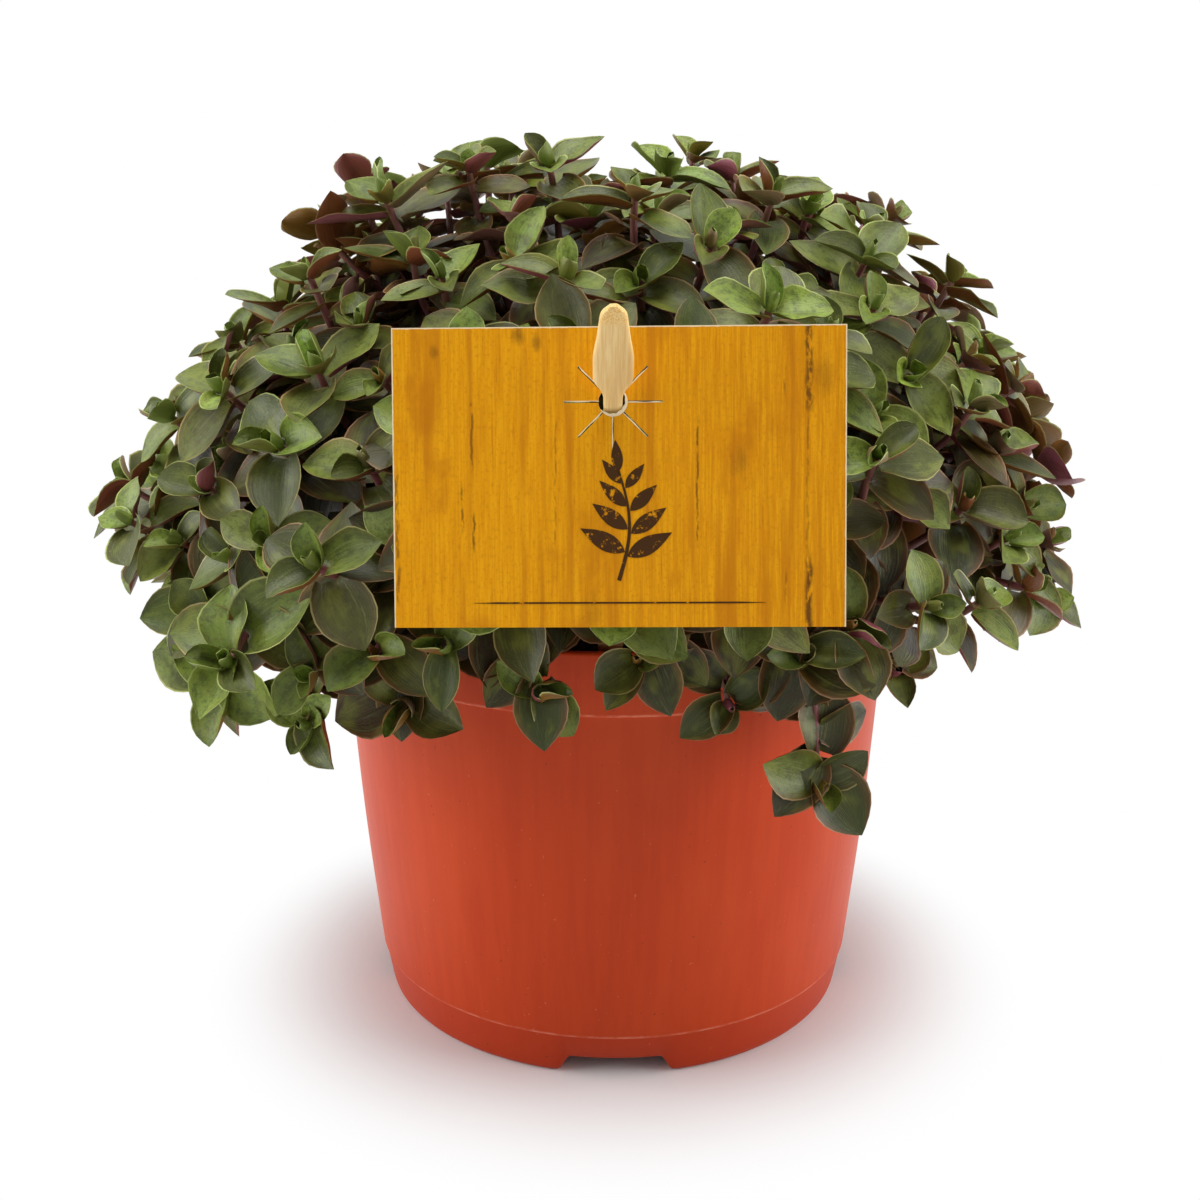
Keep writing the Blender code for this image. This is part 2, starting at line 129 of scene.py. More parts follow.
class Nodes:
    # A node tree, with one method for each node that the finishes use.
    def __init__(self, owner):
        owner.use_nodes = True
        self.tree = owner.node_tree

    def node(self, kind, values=None, **settings):
        made = self.tree.nodes.new(kind)
        for key, value in settings.items():
            setattr(made, key, value)
        for key, value in (values or {}).items():
            self.put(made.inputs[key], value)
        return made

    def put(self, socket, value):
        if isinstance(value, bpy.types.NodeSocket):
            self.tree.links.new(value, socket)
        else:
            socket.default_value = value

    def objectPlace(self):
        return self.node("ShaderNodeTexCoord").outputs["Object"]

    def map(self, name):
        return self.node("ShaderNodeUVMap", uv_map=name).outputs["UV"]

    def number(self, name):
        return self.node("ShaderNodeAttribute", attribute_name=name).outputs["Fac"]

    def mapped(self, vector, place=(0, 0, 0), turn=(0, 0, 0), scale=(1, 1, 1), kind="POINT"):
        values = {"Vector": vector, "Location": place, "Rotation": turn, "Scale": scale}
        return self.node("ShaderNodeMapping", values, vector_type=kind).outputs["Vector"]

    def noise(self, vector, scale, detail=3.0, rough=0.5):
        values = {"Vector": vector, "Scale": scale, "Detail": detail, "Roughness": rough}
        return self.node("ShaderNodeTexNoise", values).outputs["Fac"]

    def maths(self, operation, first, second=0.0, third=0.0):
        values = {0: first, 1: second, 2: third}
        return self.node("ShaderNodeMath", values, operation=operation).outputs[0]

    def band(self, value, low, high, start=0.0, end=1.0):
        # The value's smooth share of the way from low to high, as a number from start to end.
        values = {"Value": value, "From Min": low, "From Max": high, "To Min": start, "To Max": end}
        made = self.node("ShaderNodeMapRange", values, interpolation_type="SMOOTHSTEP")
        return made.outputs["Result"]

    def mix(self, share, first, second):
        # Two colours by a share. They are the node's inputs 6 and 7 and its output 2.
        made = self.node("ShaderNodeMix", data_type="RGBA")
        self.put(made.inputs[0], share)
        self.put(made.inputs[6], first)
        self.put(made.inputs[7], second)
        return made.outputs[2]

    def over(self, colour, tone, value, low, high, most=1.0):
        # The tone laid over a colour: none of it where the value is low, and most where it is high.
        return self.mix(self.band(value, low, high, 0.0, most), colour, tone)

    def ramp(self, value, stops):
        # The value as a colour between stops, each a position and a colour.
        made = self.node("ShaderNodeValToRGB", {"Fac": value})
        elements = made.color_ramp.elements
        while len(elements) < len(stops):
            elements.new(0.5)
        for element, (position, colour) in zip(elements, stops):
            element.position = position
            element.color = colour
        return made.outputs["Color"]

    def bump(self, height, strength, distance):
        values = {"Height": height, "Strength": strength, "Distance": distance}
        return self.node("ShaderNodeBump", values).outputs["Normal"]

    def split(self, vector):
        return self.node("ShaderNodeSeparateXYZ", {"Vector": vector}).outputs

    def join(self, x, y, z):
        return self.node("ShaderNodeCombineXYZ", {"X": x, "Y": y, "Z": z}).outputs["Vector"]

    def seen(self):
        # 1 for what the camera sees, mirrored or not, and 0 for what only lights other things.
        path = self.node("ShaderNodeLightPath").outputs
        bent = self.maths("MAXIMUM", path["Is Glossy Ray"], path["Is Transmission Ray"])
        return self.maths("MAXIMUM", path["Is Camera Ray"], bent)

    def output(self, share, first, second):
        # The tree's result: the share that the second surface has in it, and the two surfaces.
        mixed = self.node("ShaderNodeMixShader", {0: share, 1: first, 2: second}).outputs[0]
        ends = [node for node in self.tree.nodes if "Surface" in node.inputs]
        self.put(ends[0].inputs["Surface"], mixed)


class Shader(Nodes):
    # A new material's nodes.
    def __init__(self, name):
        self.material = bpy.data.materials.new(name)
        super().__init__(self.material)
        self.surface = self.tree.nodes["Principled BSDF"]

    def finish(self, colour, roughness, normal=None, shine=None):
        # The surface's own inputs, and the material that they make.
        self.put(self.surface.inputs["Base Color"], colour)
        self.put(self.surface.inputs["Roughness"], roughness)
        if normal is not None:
            self.put(self.surface.inputs["Normal"], normal)
        if shine is not None:
            self.put(self.surface.inputs["Specular IOR Level"], shine)
        return self.material


view = {
    "place": (-0.0031, -0.3189, 0.1727),  # metres: in front of the pot, above its rim
    "pitchDown": 15.29,  # degrees
    "lens": 45.3,  # mm
    "sensor": 36,
}

light = {
    "world": 0.262,  # the soft light from all round
    "white": (1, 1, 1, 1),
    "sidePlace": (1.0, -0.12, 0.30),  # of the right-hand lamp, and of the left-hand one mirrored
    "sideWatts": 9.0,
    "sideSize": 0.8,
    "topPlace": (0.0, -0.10, 1.2),
    "topWatts": 12.0,
    "topSize": 0.9,
    "aim": (0, 0, 0.09),  # what every lamp faces: the middle of the plant
    "floorReach": 6.0,
    "floorRoughness": 0.9,
    "floorColour": paint(250, 250, 250),
    "floorBounce": paint(212, 212, 212),  # what the floor throws back up on to the plant
    "floorFade": (0.046, 0.094),  # metres from the pot's middle over which the floor turns plain white
}


def makeCamera():
    # A camera that looks straight to the back, pitched down by the angle.
    lensData = bpy.data.cameras.new("camera")
    lensData.lens = view["lens"]
    lensData.sensor_width = view["sensor"]
    camera = bpy.data.objects.new("camera", lensData)
    camera.location = view["place"]
    camera.rotation_euler = (np.radians(90 - view["pitchDown"]), 0, 0)
    bpy.context.scene.collection.objects.link(camera)
    bpy.context.scene.camera = camera
    print("camera set")


def areaLight(name, place, size, watts):
    # A square lamp that faces the middle of the plant.
    data = bpy.data.lights.new(name, "AREA")
    data.size = size
    data.energy = watts
    lamp = bpy.data.objects.new(name, data)
    lamp.location = place
    lamp.rotation_euler = (Vector(light["aim"]) - Vector(place)).to_track_quat("-Z", "Y").to_euler()
    bpy.context.scene.collection.objects.link(lamp)


def makeLight():
    # A lamp on each side and one above, and a world that lights the plant softly but is seen, or
    # mirrored, as plain white.
    bpy.context.scene.view_settings.view_transform = "Standard"
    x, y, z = light["sidePlace"]
    areaLight("lampLeft", (-x, y, z), light["sideSize"], light["sideWatts"])
    areaLight("lampRight", (x, y, z), light["sideSize"], light["sideWatts"])
    areaLight("lampTop", light["topPlace"], light["topSize"], light["topWatts"])
    world = bpy.data.worlds.new("studio")
    bpy.context.scene.world = world
    look = Nodes(world)
    lamp = look.tree.nodes["Background"]
    look.put(lamp.inputs["Color"], light["white"])
    look.put(lamp.inputs["Strength"], light["world"])
    backdrop = look.node("ShaderNodeBackground", {"Color": light["white"]}).outputs[0]
    look.output(look.seen(), lamp.outputs[0], backdrop)
    print("light set")


def makeFloor():
    # A flat square, well past the view. It takes the object's shadow near the pot, and seen further
    # out it is as white as the backdrop.
    reach = light["floorReach"]
    points = np.array([(-reach, -reach, 0), (reach, -reach, 0), (reach, reach, 0), (-reach, reach, 0)])
    look = Shader("studioFloor")
    seen = look.seen()
    colour = look.mix(seen, light["floorBounce"], light["floorColour"])
    look.finish(colour, light["floorRoughness"], shine=0.0)
    distance = look.node("ShaderNodeVectorMath", {0: look.objectPlace()}, operation="LENGTH").outputs["Value"]
    far = look.band(distance, *light["floorFade"])
    white = look.node("ShaderNodeEmission", {"Color": light["white"], "Strength": 1.0}).outputs[0]
    look.output(look.maths("MULTIPLY", far, seen), look.surface.outputs[0], white)
    floor = meshObject("floor", points, np.array([[0, 1, 2, 3]]), noTriangles, look.material)
    print("floor made")


pot = {
    "sides": 144,
    "rimRadius": 0.0600,
    "height": 0.0920,
    "lip": 0.0008,  # rounding of the rim's two edges
    "collarZ": 0.0795,
    "collarRadius": 0.0589,
    "bodyRadius": 0.0583,
    "bellyZ": 0.0400,
    "bellyRadius": 0.0558,
    "mouldZ": 0.0097,
    "mouldRadius": 0.0527,
    "mouldStep": 0.0003,
    "footRadius": 0.0507,
    "footRound": 0.0016,
    "footWall": 0.0030,
    "recessDraft": 0.0008,
    "wall": 0.0013,
    "baseUnderZ": 0.0072,
    "baseTopZ": 0.0086,
    "centreHole": 0.0050,
    "drainHoles": 8,
    "drainRadius": 0.0035,
    "drainRing": 0.0360,
    "drainBand": 0.0060,  # the base has a ring of points this far to either side of the holes' ring
    "notches": 4,  # through the foot, the first one at the front
    "notchHeight": 0.0037,
    "notchHalf": (0.0122, 0.0090),  # half its width at the bottom, and where its roof begins
    "notchFade": 0.0068,  # the foot's wall is squeezed below this height
    "notchTurns": 6,  # extra turns on each ramp
    "leastTurn": 0.004,  # radians between two turns
    "colour": paint(199, 67, 23),
    "pale": paint(213, 82, 36),
    "deep": paint(183, 54, 18),
    # the colour of the painted highlight along the ledges of the mould line and the collar's lower edge
    "ledgeHighlight": paint(226, 132, 104),
    "paleSpeck": paint(226, 132, 96),
    "darkSpeck": paint(112, 40, 22),
    "ledgeHighlightWidths": (0.00028, 0.00030),  # of the painted highlight: on the mould line and on the collar's lower edge
    "roughness": 0.42,
    "shine": 0.18,
    "sharpBend": 38,  # degrees
}


def wallRadius(z):
    # The pot's outer radius at a height, from its foot to its belly, its shoulder and its rim.
    heights = [0, pot["mouldZ"], pot["bellyZ"], pot["collarZ"], pot["height"]]
    radii = [pot["footRadius"], pot["mouldRadius"], pot["bellyRadius"], pot["collarRadius"], pot["rimRadius"]]
    return np.interp(z, heights, radii)


def rounded(corners, steps=5):
    # Each corner (radius, height, rounding) gives way to a parabola that starts and ends at the
    # rounding's distance from it.
    corners = np.array(corners)
    points = corners[:, :2]
    before, after = np.roll(points, 1, 0) - points, np.roll(points, -1, 0) - points
    share = np.linspace(0, 1, steps)[:, None]
    made = []
    for point, rounding, back, ahead in zip(points, corners[:, 2], unit(before), unit(after)):
        first, last = point + back * rounding, point + ahead * rounding
        arc = (1 - share) ** 2 * first + 2 * share * (1 - share) * point + share ** 2 * last
        made.append(arc if rounding > 0 else point[None])
    return np.concatenate(made)


def turnedPoints(profile, turns):
    # Every point of the profile (radius, height) at every turn about the upright axis.
    radius, height = profile[:, 0, None], profile[:, 1, None] + 0 * turns
    return np.stack([radius * np.cos(turns), radius * np.sin(turns), height], -1)


def turnedFaces(rings, columns, closed):
    # Quads between each ring and the next one, and from the last back to the first if it is closed.
    ring = np.arange(rings if closed else rings - 1)[:, None]
    here, after = ring * columns, (ring + 1) % rings * columns
    turn = np.arange(columns)[None]
    nextTurn = (turn + 1) % columns
    quads = [here + turn, after + turn, after + nextTurn, here + nextTurn]
    return np.stack(quads, -1).reshape(-1, 4)


def endFans(rings, columns):
    # A fan of triangles from the first ring to a pole beside it, and from the last ring to another.
    # The two poles are the points that follow those of the rings.
    turn = np.arange(columns)
    nextTurn = (turn + 1) % columns
    last, poles = (rings - 1) * columns, rings * columns
    return np.concatenate([
        np.stack([turn, nextTurn, np.full(columns, poles)], -1),
        np.stack([last + nextTurn, last + turn, np.full(columns, poles + 1)], -1)])


def potProfile():
    # The wall's outline, down its outer side and back up inside, from corners of a radius, a height
    # and a rounding each.
    wall, step, band = pot["wall"], pot["mouldStep"], pot["drainBand"]
    foot, rim, top = pot["footRadius"], pot["rimRadius"], pot["height"]
    recess = foot - pot["footWall"]
    return rounded([
        (rim - 2.1 * pot["lip"], top, pot["lip"]),
        (rim, top, pot["lip"]),
        (pot["collarRadius"], pot["collarZ"], 0.0003),
        (pot["bodyRadius"], pot["collarZ"] - step, 0.0002),
        (pot["bellyRadius"], pot["bellyZ"], 0.0150),
        (pot["mouldRadius"], pot["mouldZ"], 0.0002),
        (pot["mouldRadius"] - step, pot["mouldZ"] - step, 0.0001),
        (foot, 0.0, pot["footRound"]),
        (recess, 0.0, 0.0006),
        (recess - 0.3 * pot["recessDraft"], 0.3 * pot["baseUnderZ"], 0),
        (recess - 0.7 * pot["recessDraft"], 0.7 * pot["baseUnderZ"], 0),
        (recess - pot["recessDraft"], pot["baseUnderZ"], 0.0004),
        (pot["drainRing"] + band, pot["baseUnderZ"], 0),
        (pot["drainRing"] - band, pot["baseUnderZ"], 0),
        (pot["centreHole"], pot["baseUnderZ"], 0.0003),
        (pot["centreHole"], pot["baseTopZ"], 0.0003),
        (pot["drainRing"] - band, pot["baseTopZ"], 0),
        (pot["drainRing"] + band, pot["baseTopZ"], 0),
        (pot["mouldRadius"] - wall, pot["baseTopZ"], 0.0015),
        (pot["bellyRadius"] - wall, pot["bellyZ"], 0.0150),
        (pot["bodyRadius"] - wall, pot["collarZ"], 0.0040),
    ])


def raiseNotches(points):
    # In a notch the foot's underside is lifted, with a rounded ramp at either side, and the wall
    # above it is squeezed less and less up to the height at which the notch fades.
    beat = 2 * np.pi / pot["notches"]
    turn = np.arctan2(points[..., 1], points[..., 0])
    off = (turn + np.pi / 2 + beat / 2) % beat - beat / 2
    rise = pot["notchHeight"] * ease(*pot["notchHalf"], np.abs(off) * pot["footRadius"])
    share = np.clip(1 - points[..., 2] / pot["notchFade"], 0, 1)
    return points + (rise * share)[..., None] * np.array([0, 0, 1.0])


def cutHoles(piece, places, radius, low, high):
    # Straight round holes cut through a piece, with the cutters removed afterwards.
    cutter = bmesh.new()
    for x, y in places:
        matrix = Matrix.Translation((x, y, (low + high) / 2))
        bmesh.ops.create_cone(cutter, cap_ends=True, segments=24, radius1=radius, radius2=radius,
                              depth=high - low, matrix=matrix)
    data = bpy.data.meshes.new("holeCutter")
    cutter.to_mesh(data)
    cutter.free()
    tool = bpy.data.objects.new("holeCutter", data)
    bpy.context.scene.collection.objects.link(tool)
    step = piece.modifiers.new("holes", "BOOLEAN")
    step.operation = "DIFFERENCE"
    step.solver = "EXACT"
    step.object = tool
    bpy.context.view_layer.update()
    seen = piece.evaluated_get(bpy.context.evaluated_depsgraph_get())
    mesh = bpy.data.meshes.new_from_object(seen)
    piece.modifiers.clear()
    old = piece.data
    piece.data = mesh
    bpy.data.meshes.remove(old)
    bpy.data.objects.remove(tool)
    bpy.data.meshes.remove(data)


def potPlastic():
    # Moulded plastic: faint streaks up the wall, a little cloudiness, scattered pale and dark
    # specks, a painted highlight along the mould line and the collar's lower edge, broken up by
    # noise, and painted shade that darkens the foot below the mould line.
    look = Shader("mouldedPlastic")
    place = look.objectPlace()
    height = look.split(place)["Z"]
    streak = look.noise(look.mapped(place, scale=(420, 420, 9)), 1.0, 3.0, 0.6)
    cloud = look.noise(look.mapped(place, scale=(38, 38, 22)), 1.0, 3.0, 0.55)
    colour = look.mix(look.band(streak, 0.35, 0.65), pot["deep"], pot["colour"])
    colour = look.mix(0.62, colour, pot["colour"])
    colour = look.over(colour, pot["pale"], cloud, 0.45, 0.75, 0.35)
    # Painted shade: the foot below the mould line is darker.
    colour = look.over(colour, pot["deep"], height, pot["mouldZ"], pot["mouldZ"] - 0.0008, 0.6)
    # A painted highlight along the ledges of the mould line and the collar's lower edge, broken up by noise.
    ledgeHighlight = look.noise(look.mapped(place, scale=(260, 260, 500)), 1.0, 3.0, 0.6)
    for line, width in zip((pot["mouldZ"], pot["collarZ"]), pot["ledgeHighlightWidths"]):
        away = look.maths("ABSOLUTE", look.maths("SUBTRACT", height, line))
        near = look.band(away, width * 1.6, width * 0.4)
        patchy = look.maths("MULTIPLY", near, look.band(ledgeHighlight, 0.38, 0.62, 0.15, 0.8))
        colour = look.mix(patchy, colour, pot["ledgeHighlight"])
    speck = look.noise(place, 1250.0, 1.0, 0.4)
    colour = look.over(colour, pot["paleSpeck"], speck, 0.75, 0.82, 0.4)
    fleck = look.noise(look.mapped(place, place=(0.31, 0.17, 0.09)), 900.0, 1.0, 0.4)
    colour = look.over(colour, pot["darkSpeck"], fleck, 0.76, 0.82, 0.5)
    grain = look.noise(look.mapped(place, scale=(900, 900, 90)), 1.0, 3.0, 0.6)
    return look.finish(colour, pot["roughness"], look.bump(grain, 0.10, 0.0003), pot["shine"])


def makePot():
    # The profile turned about the upright axis, with extra turns on the notches' ramps, and then
    # the notches and the drainage holes.
    bottom, roof = pot["notchHalf"]
    edges = np.linspace(roof, bottom, pot["notchTurns"] + 2)[1:-1] / pot["footRadius"]
    beat = 2 * np.pi / pot["notches"]
    extra = [i * beat - np.pi / 2 + side * edges for i in range(pot["notches"]) for side in (-1, 1)]
    turns = np.concatenate([np.linspace(0, 2 * np.pi, pot["sides"], endpoint=False), *extra]) % (2 * np.pi)
    turns = np.sort(turns)
    turns = turns[np.diff(turns, append=turns[0] + 2 * np.pi) > pot["leastTurn"]]
    profile = potProfile()
    points = raiseNotches(turnedPoints(profile, turns))
    quads = turnedFaces(len(profile), len(turns), True)
    piece = meshObject("potWall", points.reshape(-1, 3), quads, noTriangles, potPlastic())
    ring = (np.arange(pot["drainHoles"]) + 0.5) * 2 * np.pi / pot["drainHoles"]
    places = pot["drainRing"] * onCircle(ring)
    past = 0.002  # how far the cutters stand out of the base
    cutHoles(piece, places, pot["drainRadius"], pot["baseUnderZ"] - past, pot["baseTopZ"] + past)
    sharpenBends(piece.data, pot["sharpBend"])
    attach(piece, "root")
    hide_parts("pot")
    print("pot made:", len(piece.data.polygons), "faces")


soil = {
    "seed": 3,
    "topZ": 0.0820,
    "sunk": 0.0012,  # how far under that the middle of the waves lies
    "edgeDrop": 0.0030,
    "edgeWidth": 0.0050,
    "gap": 0.0003,  # between the soil and the pot
    "chamfer": 0.0016,  # at the plug's lower edge
    "wallDrop": 0.004,  # from the edge of the top down to the wall's first ring
    "wallInset": 0.0002,
    "middleRing": 0.0015,  # radius of the rings next to the two poles
    "topRings": 26,
    "wallRings": 7,
    "columns": 96,
    "waves": 26,
    "waveLength": (0.003, 0.020),
    "waveHeight": 0.00035,
    "crumbs": 420,
    "crumbSize": (0.0006, 0.0019),
    "crumbStretch": (0.6, 1.3),  # along each axis
    "crumbBumps": 0.16,  # share of its size by which a crumb's corners stand out or in
    "crumbFree": 0.003,  # the rim of the soil that has no crumbs
    "tones": ((0.30, paint(30, 21, 16)), (0.52, paint(58, 42, 32)), (0.72, paint(88, 66, 48))),
    "fibre": paint(128, 98, 66),
    "grain": paint(206, 198, 184),
    "roughness": 0.95,
    "shine": 0.2,
}


def soilTop(random):
    # The soil's height at any place: a sum of waves of chance length and heading, which falls off
    # at the wall.
    heading = random.uniform(0, 2 * np.pi, soil["waves"])
    length = random.uniform(*soil["waveLength"], soil["waves"])
    phase = random.uniform(0, 2 * np.pi, soil["waves"])
    across = np.stack([np.cos(heading), np.sin(heading)]) * 2 * np.pi / length
    edge = wallRadius(soil["topZ"]) - pot["wall"] - soil["gap"]

    def height(places):
        waves = np.sin(places @ across + phase).sum(-1) * soil["waveHeight"]
        drop = soil["edgeDrop"] * ease(edge - soil["edgeWidth"], edge, np.linalg.norm(places, axis=-1))
        return soil["topZ"] - soil["sunk"] + waves - drop

    return height


def crumbShape():
    # The corners and faces of an icosahedron: three golden rectangles square to one another.
    golden = (1 + 5 ** 0.5) / 2
    corners = [(0, a, b * golden) for a in (-1, 1) for b in (-1, 1)]
    corners = np.array([np.roll(corner, i) for i in range(3) for corner in corners])
    hull = bmesh.new()
    for corner in corners:
        hull.verts.new(corner)
    bmesh.ops.convex_hull(hull, input=hull.verts)
    bmesh.ops.recalc_face_normals(hull, faces=hull.faces)
    hull.verts.index_update()
    faces = np.array([[vert.index for vert in face.verts] for face in hull.faces])
    points = np.array([vert.co for vert in hull.verts])
    hull.free()
    return unit(points), faces


def soilGrain():
    # Dark crumbly peat with lighter fibres and a few pale grains.
    look = Shader("pottingSoil")
    place = look.objectPlace()
    lump = look.noise(place, 420.0, 5.0, 0.65)
    fibre = look.noise(look.mapped(place, turn=(0.4, 0.3, 0.6), scale=(300, 2200, 900)), 1.0, 2.0, 0.5)
    colour = look.ramp(lump, soil["tones"])
    colour = look.over(colour, soil["fibre"], fibre, 0.66, 0.76, 0.7)
    grain = look.noise(place, 700.0, 1.0, 0.4)
    colour = look.over(colour, soil["grain"], grain, 0.76, 0.80, 0.8)
    return look.finish(colour, soil["roughness"], look.bump(lump, 0.8, 0.0012), soil["shine"])


def makeSoil():
    # A turned plug with an uneven top, and loose crumbs sunk a little into it.
    random = np.random.default_rng(soil["seed"])
    height = soilTop(random)
    inset = pot["wall"] + soil["gap"]
    floor = pot["baseTopZ"] + soil["gap"]
    edge = wallRadius(soil["topZ"] - soil["edgeDrop"]) - inset
    chamfer, middle, top = soil["chamfer"], soil["middleRing"], soil["topRings"]
    wall = np.linspace(soil["topZ"] - soil["edgeDrop"] - soil["wallDrop"], floor + chamfer, soil["wallRings"])
    profile = np.concatenate([
        np.stack([np.linspace(middle, edge, top), np.full(top, soil["topZ"])], -1),
        np.stack([wallRadius(wall) - inset - soil["wallInset"], wall], -1),
        [(pot["mouldRadius"] - inset - chamfer, floor), (middle, floor)]])
    rings, columns = len(profile), soil["columns"]
    points = turnedPoints(profile, np.linspace(0, 2 * np.pi, columns, endpoint=False))
    points[:top, :, 2] = height(points[:top, :, :2])
    points = np.concatenate([points.reshape(-1, 3), [(0, 0, height(np.zeros(2)))], [(0, 0, floor)]])
    quads = turnedFaces(rings, columns, False)
    shape, faces = crumbShape()
    count = soil["crumbs"]
    size = random.uniform(*soil["crumbSize"], (count, 1, 1))
    size = size * random.uniform(*soil["crumbStretch"], (count, 1, 3))
    bumps = shape * size * (1 + random.normal(0, soil["crumbBumps"], (count, len(shape), 1)))
    radius = np.sqrt(random.uniform(0, 1, count)) * (edge - soil["crumbFree"])
    heading = random.uniform(0, 2 * np.pi, count)
    places = radius[:, None] * onCircle(heading)
    places = np.concatenate([places, height(places)[:, None]], -1)
    crumbs = (bumps + places[:, None]).reshape(-1, 3)
    crumbFaces = copiedFaces(faces, count, len(shape)) + len(points)
    piece = meshObject("soilPlug", np.concatenate([points, crumbs]), quads,
                       np.concatenate([endFans(rings, columns), crumbFaces]), soilGrain())
    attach(piece, "root")
    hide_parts("soil")
    print("soil made:", len(piece.data.polygons), "faces")


card = {
    "centre": (-0.0003, -0.0956, 0.1307),
    "turn": (-12.0, -0.7, -1.9),  # degrees about X, Y and Z
    "size": (0.0680, 0.0450, 0.0005),
    "hole": (-0.0008, 0.0113),
    "holeRadius": 0.0022,
    "slitReach": 0.0074,
    "slitWidth": 0.0003,
    "slits": 8,
    "lipWidth": 0.00019,  # torn paper along one side of each slit
    "rimWidth": 0.00050,  # and round part of the hole, from one angle to the other in degrees
    "rimArc": (-150, 48),
    "border": 0.00018,  # bare paper along the print's edge
    "amber": paint(226, 152, 8),
    "honey": paint(240, 171, 18),
    "umber": paint(190, 112, 10),
    "streak": paint(88, 50, 14),
    # cracks in the printed planks: across the card, half width, lower end, upper end, strength
    "cracks": ((0.0284, 0.00085, 0.0095, 0.0240, 0.85), (0.0284, 0.00080, -0.0240, -0.0120, 0.90),
               (0.0282, 0.00030, -0.0120, 0.0095, 0.45), (0.0118, 0.00026, -0.0102, 0.0086, 0.75),
               (-0.0095, 0.00022, -0.0100, 0.0090, 0.40), (-0.0221, 0.00030, 0.0012, 0.0120, 0.65),
               (-0.0235, 0.00028, -0.0082, -0.0010, 0.70), (-0.0218, 0.00028, -0.0112, -0.0052, 0.80),
               (-0.0334, 0.00040, -0.0190, 0.0010, 0.60), (0.0248, 0.00026, 0.0120, 0.0165, 0.50),
               (0.0249, 0.00030, -0.0190, -0.0140, 0.50)),
    # brown blotches: across, up, radius, strength
    "blotches": ((-0.0149, 0.0214, 0.0011, 0.60), (-0.0122, 0.0202, 0.0009, 0.50),
                 (-0.0276, 0.0190, 0.0008, 0.45), (0.0182, 0.0020, 0.0016, 0.30),
                 (0.0306, 0.0150, 0.0022, 0.30), (-0.0040, -0.0205, 0.0022, 0.25)),
    "paper": paint(244, 230, 196),
    "greyPaper": paint(236, 226, 204),
    "tornPaper": paint(236, 214, 168),
    "ink": paint(66, 40, 14),
    "roughness": 0.5,
    "tornRoughness": 0.7,
    "shine": 0.12,
    "lipDepth": (0.00030, 0.00003),  # how far the torn lips start under the face, and end above it
}


def cardTurn():
    # The card's turn from standing upright and facing the front.
    return Euler(np.radians(card["turn"]), "XYZ")


def cardFrame():
    # The card's own axes as columns (across it, up it, out of its printed face), and its centre.
    upright = Matrix(((1, 0, 0), (0, 0, -1), (0, 1, 0)))
    return np.array(cardTurn().to_matrix() @ upright), np.array(card["centre"])


def cardPlace(look):
    # A shader's place on the card: X across it, Z up it and Y to its back, from its centre.
    return look.mapped(look.objectPlace(), card["centre"], tuple(cardTurn()), kind="TEXTURE")


def headingOnCard(heading):
    # A way on the card, from its angle off the line across the card, and the way square to it.
    ahead = onCircle(heading)
    return ahead, np.array([-ahead[1], ahead[0]])


def onCard(points):
    # Points given across, up and out from the card's centre, as places in the scene.
    axes, centre = cardFrame()
    return points @ axes.T + centre


def woodPrint(look, place):
    # A print of planks on the card: upright fibres, a fine tooth all over, broad clouds, and a few
    # broken dark cracks and blotches. Bare paper shows along its edge.
    x, _, z = look.split(place)
    fibre = look.noise(look.mapped(place, scale=(2100, 1, 90)), 1.0, 4.0, 0.65)
    broad = look.noise(look.mapped(place, scale=(330, 1, 17)), 1.0, 3.0, 0.6)
    cloud = look.noise(look.mapped(place, scale=(90, 1, 60)), 1.0, 4.0, 0.6)
    tooth = look.noise(look.mapped(place, scale=(2300, 1, 1500)), 1.0, 2.0, 0.7)
    colour = look.mix(look.band(x, -0.020, 0.034, 0.0, 0.30), card["amber"], card["umber"])
    colour = look.over(colour, card["honey"], fibre, 0.44, 0.62, 0.65)
    colour = look.over(colour, card["umber"], fibre, 0.44, 0.28, 0.70)
    colour = look.over(colour, card["umber"], broad, 0.50, 0.68, 0.65)
    colour = look.over(colour, card["umber"], cloud, 0.54, 0.72, 0.60)
    colour = look.over(colour, card["umber"], tooth, 0.50, 0.70, 0.40)
    broken = look.noise(look.mapped(place, scale=(1100, 1, 420)), 1.0, 3.0, 0.65)
    sway = look.noise(look.mapped(place, scale=(1, 1, 170)), 1.0, 3.0, 0.6)
    bent = look.maths("ADD", x, look.maths("MULTIPLY_ADD", sway, 0.0014, -0.0007))
    for middle, width, low, high, strength in card["cracks"]:
        near = look.band(look.maths("ABSOLUTE", look.maths("SUBTRACT", bent, middle)), width, width * 0.2)
        lower, upper = look.band(z, low - 0.0008, low + 0.0016), look.band(z, high + 0.0008, high - 0.0016)
        ends = look.maths("MULTIPLY", lower, upper)
        there = look.maths("MULTIPLY", ends, look.band(broken, 0.36, 0.54, 0.0, strength))
        colour = look.mix(look.maths("MULTIPLY", near, there), colour, card["streak"])
    for across, up, radius, strength in card["blotches"]:
        spot = look.mapped(place, place=(-across, 0, -up * 0.6), scale=(1, 0, 0.6))
        away = look.node("ShaderNodeVectorMath", {0: spot}, operation="LENGTH").outputs["Value"]
        patchy = look.maths("MULTIPLY_ADD", broken, -radius * 1.4, away)
        colour = look.over(colour, card["streak"], patchy, radius * 0.5, -radius * 0.6, strength)
    wide, tall = card["size"][0] / 2 - card["border"], card["size"][1] / 2 - card["border"]
    side = look.maths("SUBTRACT", look.maths("ABSOLUTE", x), wide)
    top = look.maths("SUBTRACT", z, tall)
    past = look.maths("MULTIPLY_ADD", broken, 0.00030, look.maths("MAXIMUM", side, top))
    return look.over(colour, card["paper"], past, 0.00010, 0.00018, 0.85)


